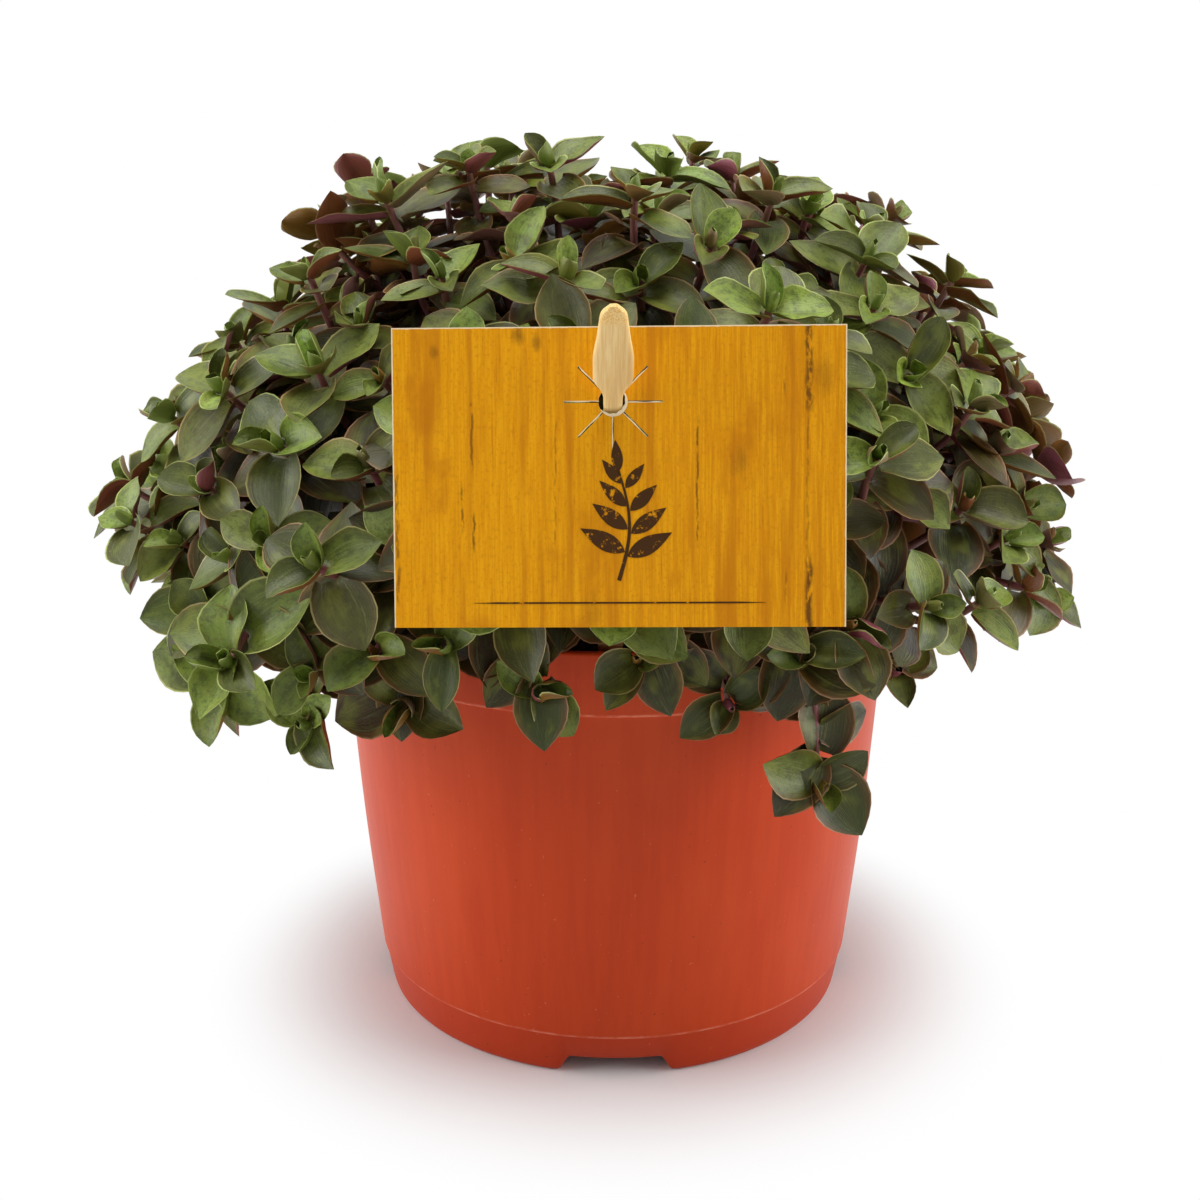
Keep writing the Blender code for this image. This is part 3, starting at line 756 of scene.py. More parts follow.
def printedCard():
    # The print is on the face that points forward. Edges and back are bare paper.
    look = Shader("printedCard")
    place = cardPlace(look)
    depth = look.split(place)["Y"]
    front = look.maths("LESS_THAN", depth, -0.45 * card["size"][2])
    paper = look.mix(look.noise(place, 900.0, 3.0), card["paper"], card["greyPaper"])
    colour = look.mix(front, paper, woodPrint(look, place))
    return look.finish(colour, card["roughness"], shine=card["shine"])


def flatShapes(name, outlines, depth, material):
    # Thin closed shapes on the card in one piece: each outline once at the lower depth and once at
    # the upper one, measured out from the card's middle, with a wall between the two.
    solid = bmesh.new()
    for outline in outlines:
        count = len(outline)
        rims = [onCard(np.concatenate([outline, np.full((count, 1), out)], -1)) for out in depth]
        low, high = ([solid.verts.new(point) for point in rim] for rim in rims)
        solid.faces.new(high)
        solid.faces.new(low[::-1])
        for i in range(count):
            solid.faces.new((high[i - 1], low[i - 1], low[i], high[i]))
    bmesh.ops.recalc_face_normals(solid, faces=solid.faces)
    mesh = bpy.data.meshes.new(name)
    solid.to_mesh(mesh)
    solid.free()
    mesh.materials.append(material)
    piece = bpy.data.objects.new(name, mesh)
    bpy.context.scene.collection.objects.link(piece)
    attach(piece, "root")
    return piece


def tornPaper():
    # Bare torn paper: a pale fibrous edge.
    look = Shader("tornPaper")
    fibre = look.noise(look.objectPlace(), 2600.0, 3.0, 0.6)
    colour = look.mix(fibre, card["tornPaper"], card["paper"])
    return look.finish(colour, card["tornRoughness"], shine=card["shine"])


def lipPoints(across, up, heading, length, width):
    # A straight lip of paper along one side of a slit: an oblong seen from the front, with a wave
    # in its free edge, from a little behind the card's face to just proud of it.
    share = np.linspace(0, 1, 12)
    ahead, aside = headingOnCard(heading)
    free = width * (0.72 + 0.28 * np.sin(share * 9.0 + heading * 3.0)) * np.minimum(1, 6 * (1 - share) + 0.25)
    line = np.array([across, up]) + share[:, None] * length * ahead
    fixed = line - aside * card["slitWidth"] / 2
    return np.concatenate([fixed, (fixed + aside * free[:, None])[::-1]])


def makeCard():
    # The card keeps its solid and takes the print. Torn lips are laid along all slits but the
    # upper one, and round part of the hole.
    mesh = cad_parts["label_card"].data
    mesh.materials.clear()
    mesh.materials.append(printedCard())
    across, up = card["hole"]
    start = card["holeRadius"] - 0.0001
    outlines = []
    for i in range(card["slits"]):
        heading = i * 2 * np.pi / card["slits"]
        if abs(heading - np.pi / 2) > 0.1:
            foot = np.array([across, up]) + start * headingOnCard(heading)[0]
            outlines.append(lipPoints(*foot, heading, card["slitReach"] - start, card["lipWidth"]))
    steps, overlap = 28, 0.00002
    turn = np.linspace(*np.radians(card["rimArc"]), steps)
    rim = card["rimWidth"] * np.sin(np.linspace(0, np.pi, steps)) ** 0.6 * (1 + 0.15 * np.sin(turn * 11))
    circle = onCircle(turn)
    outer = circle * (card["holeRadius"] + overlap)
    inner = circle * (card["holeRadius"] - rim[:, None])
    outlines.append(np.concatenate([outer, inner[::-1]]) + (across, up))
    under, above = card["lipDepth"]
    depth = (card["size"][2] / 2 - under, card["size"][2] / 2 + above)
    piece = flatShapes("cardTornEdges", outlines, depth, tornPaper())
    print("card finished:", len(piece.data.polygons), "faces in its torn edges")


sprig = {
    "middle": (0.0000, -0.0072),  # across and up from the card's centre
    "height": 0.0165,
    "bow": 0.0016,  # how far the stalk bends sideways
    "stalkWidth": 0.00050,
    "pairs": 4,
    "leafLength": (0.0076, 0.0046),  # of the lowest pair and of the highest
    "leafWidth": 0.36,  # share of the length
    "leafTurn": (62, 38),  # degrees off the stalk
    "ruleWidth": 0.0440,
    "ruleHeight": 0.00026,
    "ruleDown": -0.0188,
    "thickness": 0.00005,
    "gap": 0.00001,  # between the card's face and the print's underside
}


def sprigOutlines():
    # The stalk, the leaves in pairs up it and one at its end, and a thin rule beneath.
    middle = np.array(sprig["middle"])

    def stalk(share):
        return np.stack([sprig["bow"] * np.sin(share * np.pi), sprig["height"] * (share - 0.5)], -1) + middle

    def leaf(foot, heading, length):
        share = np.linspace(0, 1, 13)
        half = sprig["leafWidth"] * length * np.sin(np.pi * share ** 0.8) * 0.5
        ahead, aside = headingOnCard(heading)
        right = foot + share[:, None] * length * ahead - half[:, None] * aside
        left = foot + share[:, None] * length * ahead + half[:, None] * aside
        return np.concatenate([right, left[-2:0:-1]])

    share = np.linspace(0, 1, 21)
    line = stalk(share)
    ahead = unit(np.gradient(line, axis=0))
    aside = np.stack([-ahead[:, 1], ahead[:, 0]], -1)
    half = sprig["stalkWidth"] * (0.62 - 0.3 * share)[:, None]
    outlines = [np.concatenate([line - aside * half, (line + aside * half)[::-1]])]
    for i, at in enumerate(np.linspace(0.24, 0.86, sprig["pairs"])):
        blend = i / (sprig["pairs"] - 1)
        length = (1 - blend) * sprig["leafLength"][0] + blend * sprig["leafLength"][1]
        turn = np.radians((1 - blend) * sprig["leafTurn"][0] + blend * sprig["leafTurn"][1])
        for side in (-1, 1):
            foot = stalk(at - 0.02 * side) + np.array([side * 0.00025, 0])
            outlines.append(leaf(foot, np.pi / 2 - side * turn, length))
    outlines.append(leaf(stalk(1.0) - (0, 0.0002), np.radians(96), sprig["leafLength"][1] * 1.05))
    wide, thin, down = sprig["ruleWidth"] / 2, sprig["ruleHeight"] / 2, sprig["ruleDown"]
    share = np.linspace(-1, 1, 25)
    taper = thin * np.clip(6 * (1 - np.abs(share)), 0.15, 1)
    outlines.append(np.concatenate([np.stack([wide * share, down - taper], -1),
                                    np.stack([wide * share, down + taper], -1)[::-1]]))
    return outlines


def wornInk():
    # Dark ink, rubbed through to the print in places.
    look = Shader("wornInk")
    place = cardPlace(look)
    rub = look.noise(place, 1500.0, 4.0, 0.7)
    broad = look.noise(place, 330.0, 2.0, 0.5)
    patchy = look.maths("MULTIPLY_ADD", broad, 0.5, look.maths("MULTIPLY", rub, 0.6))
    colour = look.mix(look.band(patchy, 0.60, 0.68), card["ink"], woodPrint(look, place))
    return look.finish(colour, card["roughness"], shine=card["shine"])


def makeSprig():
    # The sprig and its rule as thin closed shapes just in front of the card's face.
    out = card["size"][2] / 2 + sprig["gap"]
    piece = flatShapes("cardSprig", sprigOutlines(), (out, out + sprig["thickness"]), wornInk())
    print("sprig made:", len(piece.data.polygons), "faces")


pick = {
    "lean": 37.5,  # degrees forward from upright
    "head": 0.0190,  # from the card's hole to the top
    "headRound": 0.0026,  # over which the pick grows thinner to its upper end
    "footRound": 0.010,  # and to its lower end
    "thickness": 0.0017,
    "soften": 0.0006,  # how far to either side the half widths are averaged
    "endHalf": 0.0006,  # half width of the very end
    "columns": 24,
    # stretches of the pick by their distance above the hole, and the rings on each, both ends counted
    "stretches": ((-0.1370, -0.1250, 8), (-0.1250, -0.0070, 14), (-0.0070, 0.0172, 44), (0.0172, 0.0190, 9)),
    # distance above the hole, and half the pick's width there
    "heights": (-0.1370, -0.1360, -0.1250, -0.0060, -0.0030, 0.0015, 0.0026, 0.0045, 0.0095, 0.0125, 0.0174,
                0.0184, 0.0190),
    "halves": (0.0002, 0.0006, 0.0023, 0.0023, 0.00145, 0.00145, 0.00175, 0.0030, 0.0030, 0.0025, 0.00195,
               0.00130, 0.0003),
    "pale": paint(250, 220, 158),
    "tan": paint(236, 198, 128),
    "grainTone": paint(206, 158, 88),
    "endTone": paint(236, 186, 100),
    "roughness": 0.6,
    "shine": 0.3,
    "sharpBend": 50,  # degrees
}


def pickFrame():
    # Across the pick, out of its front face, and up along it, as columns, and the card's hole.
    lean = np.radians(pick["lean"])
    along = np.array([0, -np.sin(lean), np.cos(lean)])
    out = np.array([0, -np.cos(lean), -np.sin(lean)])
    hole = onCard(np.array([*card["hole"], 0.0]))
    return np.stack([(1.0, 0, 0), out, along], -1), hole


def paleWood():
    # Fine grain along the pick, and a speckled cut at its upper end.
    look = Shader("paleWood")
    _, hole = pickFrame()
    turn = (np.radians(pick["lean"]), 0, 0)
    place = look.mapped(look.objectPlace(), tuple(hole), turn, kind="TEXTURE")
    z = look.split(place)["Z"]
    grain = look.noise(look.mapped(place, scale=(3400, 2600, 130)), 1.0, 4.0, 0.62)
    broad = look.noise(look.mapped(place, scale=(520, 520, 40)), 1.0, 2.0, 0.5)
    colour = look.mix(look.band(grain, 0.36, 0.66), pick["tan"], pick["pale"])
    colour = look.over(colour, pick["grainTone"], broad, 0.50, 0.78, 0.5)
    speckle = look.noise(place, 3800.0, 2.0, 0.6)
    cut = look.mix(look.band(speckle, 0.42, 0.60), pick["endTone"], pick["pale"])
    cut = look.over(cut, pick["grainTone"], speckle, 0.60, 0.70, 0.6)
    colour = look.over(colour, cut, z, pick["head"] - 0.0034, pick["head"] - 0.0022)
    return look.finish(colour, pick["roughness"], look.bump(grain, 0.25, 0.0002), pick["shine"])


def makePick():
    # Rings of a rounded oblong along the pick. Its half width follows the heights, softened a
    # little, and its thickness shrinks to a blunt edge at either end.
    heights = np.concatenate([np.linspace(*stretch)[:-1] for stretch in pick["stretches"]])
    heights = np.append(heights, pick["head"])
    soft = np.linspace(-pick["soften"], pick["soften"], 7)
    half = np.mean([np.interp(heights + move, pick["heights"], pick["halves"]) for move in soft], 0)
    half[-1] = pick["endHalf"]
    top = np.clip((pick["head"] - heights) / pick["headRound"], 0, 1)
    foot = np.clip(0.4 + (heights - heights[0]) / pick["footRound"], 0, 1)
    thick = pick["thickness"] / 2 * (0.45 + 0.55 * np.sqrt(top)) * foot
    turn = np.linspace(0, 2 * np.pi, pick["columns"], endpoint=False)
    across = np.sign(np.cos(turn)) * np.abs(np.cos(turn)) ** 0.5
    out = np.sign(np.sin(turn)) * np.abs(np.sin(turn)) ** 0.5
    local = np.stack([half[:, None] * across, thick[:, None] * out, heights[:, None] + 0 * turn], -1)
    ends = np.array([(0, 0, heights[0]), (0, 0, heights[-1])])
    axes, hole = pickFrame()
    points = np.concatenate([local.reshape(-1, 3), ends]) @ axes.T + hole
    rings, columns = len(heights), len(turn)
    quads = turnedFaces(rings, columns, False)
    piece = meshObject("pickStick", points, quads, endFans(rings, columns), paleWood())
    solid = bmesh.new()
    solid.from_mesh(piece.data)
    bmesh.ops.recalc_face_normals(solid, faces=solid.faces)
    solid.to_mesh(piece.data)
    solid.free()
    sharpenBends(piece.data, pick["sharpBend"])
    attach(piece, "root")
    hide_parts("label_pick")
    print("pick made:", len(piece.data.polygons), "faces")


vine = {
    "seed": 4,
    "centreZ": 0.0950,  # middle of the mound
    "left": 0.0965,  # from the middle out to a growing tip on each side
    "right": 0.0835,
    "front": 0.0930,
    "back": 0.0950,
    "rise": 0.0805,  # and straight up
    "sink": 0.1000,  # and down, below the middle
    # degrees from straight up where the fringe ends, for the degrees round from the right
    "lowest": ((-180, 93), (-135, 93), (-105, 84), (-60, 84), (0, 88), (90, 94), (180, 93)),
    # unevenness of the mound seen from the front: degrees up from the right, and share of the radius
    "swell": ((-180, 1.06), (-170, 0.96), (-158, 0.94), (-148, 1.0), (-136, 0.95), (-100, 1.0),
              (-60, 1.0), (-32, 0.98), (-22, 1.06), (-12, 1.12), (0, 1.0),
              (22, 1.08), (31, 0.97), (46, 1.05), (60, 1.0), (76, 0.97), (90, 0.91), (102, 1.0),
              (124, 1.03), (138, 1.0), (150, 0.91), (160, 0.99), (180, 1.06)),
    "swellZ": 0.1070,  # height of the middle that those are measured from
    # how far in mm the grown tips then settle out or in, at the same bearings
    "settle": ((-180, -5), (-150, -4), (-135, 0), (0, 0), (8, 3), (20, 0), (42, 6), (56, 0), (78, 4.5),
               (95, -3), (110, 0), (126, 3), (138, -4), (156, 2.5), (168, -5), (180, -5)),
    "behindRight": 0.0090,  # how much further out the tips of the right side stand behind its middle
    "flat": 0.85,  # how level the leaves of the upper left lie
    "spacing": 0.0130,  # least distance between two growing tips
    "inner": (0.80, 0.0175),  # share of the mound's size, and spacing, of the tips under the outer ones
    "innerAgeAndShade": 0.50,  # how much older and darker the leaves of those look: partly age, partly painted shade under the outer tips
    "innerLeaves": 7,  # how many of the leaf stages those stems carry
    "scatter": 0.0028,  # how far a tip stands out of the mound or back in it
    "lean": 0.34,  # how much the front's tips turn to the front
    # where the mound's parts begin and are whole, in metres: to the right, to the back or up
    "openRight": ((0.030, 0.070), (0.094, 0.104)),  # to the right, and up
    "layered": ((-0.018, -0.060), (0.130, 0.150)),  # the upper left: to the right, and up
    "litFront": (0.04, -0.02),  # to the back
    "crown": (0.145, 0.165),  # up
    "fringe": (0.104, 0.088),  # up
    "freshFringe": (0.100, 0.086),  # up, where the fringe's leaves look younger
    "narrowLeaves": (0.125, 0.155),  # up
    "inside": (0.98, 0.80),  # shares of the mound's size at which leaves begin to take the age and painted shade of the inner ones
    "sprayPull": 0.025,  # how near a shoot's own tip has to be for a spray to take it over
    "faceWithin": (0.024, 0.004),  # down from a tip, where the stem's heading gives way to its facing
    "bareFoot": 0.004,  # the stretch of a stem above its foot that carries no leaves
    "stemRadius": 0.0008,
    "stemSides": 7,
    "stemRings": 15,
    "thickness": 0.00042,
    "blade": (5, 9, 0.5),  # points across a leaf and along it, and how even its rows are
    "rolled": (9, 6, 0.0),  # the same for a rolled bud
    "sharpBend": 80,  # degrees
    "outside": 0.058,  # what is further than this from the axis hangs outside the pot
    "besidePot": (0.0965, 0.0925),  # heights over which the pot's wall begins to press leaves away
    "potGap": 0.0006,  # outside the wall
    "rimGap": 0.0030,  # inside it
    "potSoft": 0.0012,
    "cardGap": 0.0012,  # behind the card
    "cardSoft": 0.0016,
    "cardSides": (0.037, 0.049),  # across from the card's centre, where its press fades out
    "cardEnds": (0.025, 0.037),  # and up or down from it
    "pickGap": 1.6,  # in thicknesses of the pick, from its middle
    # tips of long shoots at the front and the sides, most of them out over the rim:
    # degrees round from the right, distance from the axis, height
    "sprays": ((-124, 0.092, 0.093), (-131, 0.100, 0.095), (-120, 0.097, 0.114), (-99, 0.084, 0.092),
               (-109, 0.087, 0.100), (-88, 0.086, 0.099), (-77, 0.081, 0.089), (-70, 0.088, 0.099),
               (-61, 0.074, 0.069), (-57, 0.094, 0.106), (-130, 0.085, 0.080), (-117, 0.080, 0.086),
               (-179, 0.0985, 0.1075), (-150, 0.087, 0.079), (-141, 0.093, 0.084), (-48, 0.074, 0.087),
               (-14, 0.090, 0.090)),
}

# One row for each leaf of a stem, the youngest, at the stem's tip, first: how far down the stem it
# sits, its length and its width in mm, how steeply it leaves the stem and how steep its tip is, how
# far round its two sides curl at the foot and at the tip in degrees, and how far it is rolled up.
leafStages = np.array([
    (0.0, 4.2, 5.0, 88, 86, 166, 160, 1.0),
    (0.2, 7.0, 7.2, 66, 40, 128, 84, 0.4),
    (0.6, 9.2, 8.8, 50, 18, 112, 46, 0.2),
    (1.3, 10.9, 9.6, 38, 8, 96, 32, 0),
    (2.4, 12.2, 10.1, 30, 2, 88, 26, 0),
    (4.0, 12.8, 10.2, 25, -3, 82, 22, 0),
    (6.0, 12.8, 10.0, 22, -7, 76, 20, 0),
    (8.6, 12.6, 9.8, 20, -10, 72, 18, 0),
    (11.8, 12.4, 9.6, 18, -13, 66, 16, 0),
    (15.8, 12.0, 9.4, 17, -16, 62, 16, 0),
    (20.8, 11.6, 9.0, 17, -20, 62, 16, 0),
    (27.5, 11.2, 8.6, 17, -22, 62, 16, 0),
    (36.0, 11.0, 8.4, 17, -24, 62, 16, 0),
])


def leafTemplate(columns, rows, even):
    # The faces of one closed leaf: an upper and a lower skin that share their edge and their tip.
    # Its rows follow a cosine, closest at the foot and the point, and are moved by the share even
    # to equal steps.
    across = np.sin(np.linspace(-1, 1, columns) * np.pi / 2)
    upper = np.arange(columns * rows).reshape(rows, columns)
    tip = columns * rows
    lower = upper.copy()
    inner = (columns - 2) * (rows - 1)
    lower[1:, 1:-1] = tip + 1 + np.arange(inner).reshape(rows - 1, columns - 2)
    quads = np.stack([upper[:-1, :-1], upper[1:, :-1], upper[1:, 1:], upper[:-1, 1:]], -1).reshape(-1, 4)
    under = np.stack([lower[:-1, :-1], lower[:-1, 1:], lower[1:, 1:], lower[1:, :-1]], -1).reshape(-1, 4)
    ends = np.full(columns - 1, tip)
    tris = np.stack([upper[-1, :-1], ends, upper[-1, 1:]], -1)
    underTris = np.stack([lower[-1, :-1], lower[-1, 1:], ends], -1)
    along = (1 - np.cos(np.linspace(0.06, 1, rows + 1) * np.pi)) / 2
    along = along + even * (np.linspace(along[0], 1, rows + 1) - along)
    places = np.zeros((tip + 1 + inner, 2))
    places[:tip, 0] = np.tile(across, rows)
    places[:tip, 1] = np.repeat(along[:-1], columns)
    places[tip] = (0, 1)
    places[tip + 1:, 0] = np.tile(across[1:-1], rows - 1)
    places[tip + 1:, 1] = np.repeat(along[1:-1], columns - 2)
    return {
        "across": across, "along": along, "places": places, "count": tip + 1 + inner,
        "quads": np.concatenate([quads, under]), "tris": np.concatenate([tris, underTris]),
        "quadUnder": np.repeat([0, 1], len(quads)), "triUnder": np.repeat([0, 1], len(tris)),
        "columns": columns, "rows": rows,
    }


def bladePoints(template, leaf):
    # Each leaf's midrib starts at its foot and turns from its first slope to its last one, mostly
    # near the foot. Across it, the blade is an arc as long as the blade is wide there, which turns
    # through the leaf's curl. The outline is an ellipse up to the widest place, and then a power
    # curve down to the point. A keel lifts both sides off the midrib, and a wave runs along them.
    # The lower skin is the upper one, moved in along its normal.
    count = len(leaf["foot"])
    steps = 60
    slopeFade, curlFade = 0.2, 0.26  # shares of the length over which slope and curl turn to the tip's
    fine = np.linspace(0, 1, steps + 1)
    bend = (leaf["footSlope"] - leaf["tipSlope"])[:, None]
    slope = leaf["tipSlope"][:, None] + bend * np.exp(-fine / slopeFade)
    step = leaf["length"][:, None] / steps
    middle = 0.5 * (slope[:, 1:] + slope[:, :-1])
    zero = np.zeros((count, 1))
    ahead = np.concatenate([zero, np.cumsum(np.cos(middle) * step, 1)], 1)
    above = np.concatenate([zero, np.cumsum(np.sin(middle) * step, 1)], 1)
    row = np.round(template["along"] * steps).astype(int)
    ahead, above, slope = ahead[:, row], above[:, row], slope[:, row]
    along = fine[row]

    widest = leaf["widest"][:, None]
    lost = (1 - leaf["footShare"][:, None] ** 2) * ((widest - along) / widest) ** 2
    before = np.sqrt(np.maximum(1 - lost, 0))
    after = 1 - np.clip((along - widest) / (1 - widest), 0, 1) ** leaf["point"][:, None]
    half = 0.5 * leaf["width"][:, None] * np.where(along < widest, before, after)
    unrolling = (leaf["footCurl"] - leaf["tipCurl"])[:, None]
    curl = leaf["tipCurl"][:, None] + unrolling * np.exp(-along / curlFade)

    full = 0.5 * leaf["width"][:, None]
    rolled = np.maximum(half + leaf["roll"][:, None] * (full - half), 1e-9)
    radius = rolled / curl
    curl = curl * half / rolled
    ahead = ahead + (radius[:, 0] * np.sin(slope[:, 0]))[:, None]

    out, up = leaf["out"][:, None, None], leaf["up"][:, None, None]
    side = np.cross(leaf["up"], leaf["out"])[:, None, None]
    across = template["across"]
    rise = -np.sin(slope)[..., None, None] * out + np.cos(slope)[..., None, None] * up
    lean = leaf["twist"][:, None] * along
    sideTurned = side * np.cos(lean)[..., None, None] + rise * np.sin(lean)[..., None, None]
    riseTurned = rise * np.cos(lean)[..., None, None] - side * np.sin(lean)[..., None, None]
    angle = curl[..., None] * across
    wide = radius[..., None] * np.sin(angle)
    high = radius[..., None] * (1 - np.cos(angle))
    high = high + leaf["keel"][:, None, None] * half[..., None] * np.abs(across) * along[:, None]
    ripple = np.sin(2 * np.pi * (leaf["waves"][:, None] * along + leaf["seed"][:, None]))
    high = high + leaf["wave"][:, None, None] * half[..., None] * ripple[..., None] * across * np.abs(across)
    spine = leaf["foot"][:, None] + ahead[..., None] * leaf["out"][:, None]
    spine = spine + above[..., None] * leaf["up"][:, None]
    points = spine[:, :, None] + wide[..., None] * sideTurned + high[..., None] * riseTurned
    inward = np.cos(angle)[..., None] * riseTurned - np.sin(angle)[..., None] * sideTurned
    body = leaf["thickness"][:, None, None] * np.sqrt(np.maximum(1 - across ** 2, 0))
    body = body * np.minimum(1, 3 * (1 - along))[:, None]
    lower = points - body[..., None] * inward
    made = np.empty((count, template["count"], 3))
    tip = template["columns"] * template["rows"]
    made[:, :tip] = points[:, :-1].reshape(count, tip, 3)
    made[:, tip] = points[:, -1, template["columns"] // 2]
    made[:, tip + 1:] = lower[:, 1:-1, 1:-1].reshape(count, -1, 3)
    return made


def curvePoints(ends, steps):
    # Cubic Bezier curves through four control points each, as steps + 1 points and their tangents.
    share = np.linspace(0, 1, steps + 1)[None, :, None]
    first, second, third, fourth = (ends[:, i][:, None] for i in range(4))
    rest = 1 - share
    points = rest ** 3 * first + 3 * rest ** 2 * share * second
    points = points + 3 * rest * share ** 2 * third + share ** 3 * fourth
    tangents = rest ** 2 * (second - first) + 2 * rest * share * (third - second)
    return points, unit(tangents + share ** 2 * (fourth - third))


def tubeFaces(rings, sides):
    # The faces of one closed tube and their places on its map: a wall of quads, and a fan of
    # triangles over each end.
    ring = np.arange(rings)[:-1, None]
    turn = np.arange(sides)[None]
    corners = ((0, 0), (1, 0), (1, 1), (0, 1))
    quads = [(ring + up) * sides + (turn + on) % sides for on, up in corners]
    places = [np.stack([turn + on + 0 * ring, ring + up + 0 * turn], -1) for on, up in corners]
    places = np.stack(places, -2) / (sides, rings - 1)
    fanPlaces = np.zeros((2 * sides, 3, 2))
    fanPlaces[:, :, 0] = (np.tile(turn[0], 2)[:, None] + (0, 1, 0.5)) / sides
    fanPlaces[sides:, :, 1] = 1
    fans = endFans(rings, sides)[:, [1, 0, 2]]
    return np.stack(quads, -1).reshape(-1, 4), fans, places.reshape(-1, 4, 2), fanPlaces


def tubePoints(points, tangents, radii, sides):
    # A ring of points round each point of each route, square to the route.
    flat = np.cross(points[:, -1] - points[:, 0], (0, 0, 1.0))
    flat = unit(flat + 1e-6)[:, None]
    side = unit(flat - (flat * tangents).sum(-1, keepdims=True) * tangents)
    other = np.cross(tangents, side)
    turn = np.linspace(0, 2 * np.pi, sides, endpoint=False)
    ring = side[:, :, None] * np.cos(turn)[:, None] + other[:, :, None] * np.sin(turn)[:, None]
    skin = points[:, :, None] + ring * radii[:, :, None, None]
    ends = np.stack([points[:, 0], points[:, -1]], 1)
    return np.concatenate([skin.reshape(len(points), -1, 3), ends], 1)


def moundPoint(fall, turn):
    # The place of a growing tip: an ellipsoid above the mound's middle, and a longer one below it,
    # with a half axis of its own on each side.
    height = np.where(np.cos(fall) > 0, vine["rise"], vine["sink"]) * np.cos(fall)
    across, along = np.cos(turn), np.sin(turn)
    x = ((vine["right"] + vine["left"]) + (vine["right"] - vine["left"]) * across) / 2 * across
    y = ((vine["back"] + vine["front"]) + (vine["back"] - vine["front"]) * along) / 2 * along
    return np.stack([x * np.sin(fall), y * np.sin(fall), vine["centreZ"] + height], -1)


def atBearing(local, pairs):
    # The number that the pairs give for each place's bearing, seen from the front.
    bearings, numbers = np.array(pairs).T
    return np.interp(np.degrees(np.arctan2(local[:, 2], local[:, 0])), bearings, numbers)


def besideShare(local):
    # 1 for places at the mound's edge as it is seen from the front, and 0 at its front and back.
    return ease(0.75, 0.35, np.abs(local[:, 1]) / np.linalg.norm(local, axis=1))


def swollen(places):
    # Tips at the mound's sides moved out or in by the swell at their bearing. Those at the front
    # and the back stay.
    middle = np.array([0, 0, vine["swellZ"]])
    local = places - middle
    share = atBearing(local, vine["swell"])
    return middle + local * (1 + (share - 1) * besideShare(local))[:, None]


def lowestFall(turn):
    # How far down the mound the fringe reaches on each side.
    turns, falls = np.array(vine["lowest"]).T
    return np.radians(np.interp(np.degrees(turn), turns, falls))


def outward(points):
    # The way out of the mound at each point: square to the ellipsoid that it lies on.
    wide = (vine["left"] + vine["right"]) / 2
    middle = points - (0, 0, vine["centreZ"])
    return unit(middle / np.array([wide, wide, vine["rise"]]) ** 2)


def shootEnds():
    # Each shoot's foot and tip, as its solid has them: the middle of what stands in the soil, and
    # the middle of the points that lie farthest from the middle of the mound.
    names = sorted(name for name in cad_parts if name.startswith("shoot_"))
    feet, tips = [], []
    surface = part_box("soil")[1].z
    buriedRadius, tipPercentile = 0.052, 93
    for name in names:
        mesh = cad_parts[name].data
        points = np.empty(len(mesh.vertices) * 3, np.float32)
        mesh.vertices.foreach_get("co", points)
        points = points.reshape(-1, 3).astype(float)
        near = np.hypot(points[:, 0], points[:, 1]) < buriedRadius
        foot = points[(points[:, 2] < surface) & near].mean(0)
        spread = points - (0, 0, vine["centreZ"])
        spread[:, 2] *= vine["left"] / vine["rise"]
        far = np.linalg.norm(spread, axis=1)
        feet.append((foot[0], foot[1], surface))
        tips.append(points[far > np.percentile(far, tipPercentile)].mean(0))
    return names, np.array(feet), np.array(tips)


def growingTips(random, tips):
    # The shoots' own tips first, each spray drawing the nearest one to itself, and then tips
    # between them, none nearer to another than the spacing. Inner tips follow the outer ones.
    own = tips - (0, 0, vine["centreZ"])
    turn = np.arctan2(own[:, 1], own[:, 0])
    height = np.where(own[:, 2] > 0, vine["rise"], vine["sink"])
    fall = np.arctan2(np.hypot(own[:, 0], own[:, 1]) / vine["left"], own[:, 2] / height)
    places = swollen(moundPoint(np.minimum(fall, lowestFall(turn)), turn))
    places = places + outward(places) * random.normal(0, vine["scatter"], (len(places), 1))
    turn, distance, height = np.array(vine["sprays"]).T
    turn = np.radians(turn)
    sprays = np.stack([distance * np.cos(turn), distance * np.sin(turn), height], -1)
    extra = []
    taken = np.zeros(len(places), bool)
    for spray in sprays:
        gap = np.linalg.norm(tips - spray, axis=1) + taken
        if gap.min() < vine["sprayPull"]:
            places[gap.argmin()] = spray
            taken[gap.argmin()] = True
        else:
            extra.append(spray)
    places = scatterTips(random, [*places, *extra], 1.0, vine["spacing"])
    outer = len(places)
    places = scatterTips(random, places, *vine["inner"])
    return np.array(places), outer


def scatterTips(random, places, share, spacing):
    # More tips on the mound, or on a smaller one inside it, wherever there is room.
    tries = 9000
    lowest = np.radians(max(fall for _, fall in vine["lowest"]))
    falls = np.arccos(random.uniform(np.cos(lowest), 1, tries))
    turns = random.uniform(-np.pi, np.pi, tries)
    wanted = swollen(moundPoint(falls, turns)[falls < lowestFall(turns)])
    wanted = wanted + outward(wanted) * random.normal(0, vine["scatter"], (len(wanted), 1))
    middle = np.array([0, 0, vine["centreZ"]])
    wanted = middle + (wanted - middle) * share
    for place in wanted:
        if np.linalg.norm(np.array(places) - place, axis=1).min() > spacing:
            places.append(place)
    return places


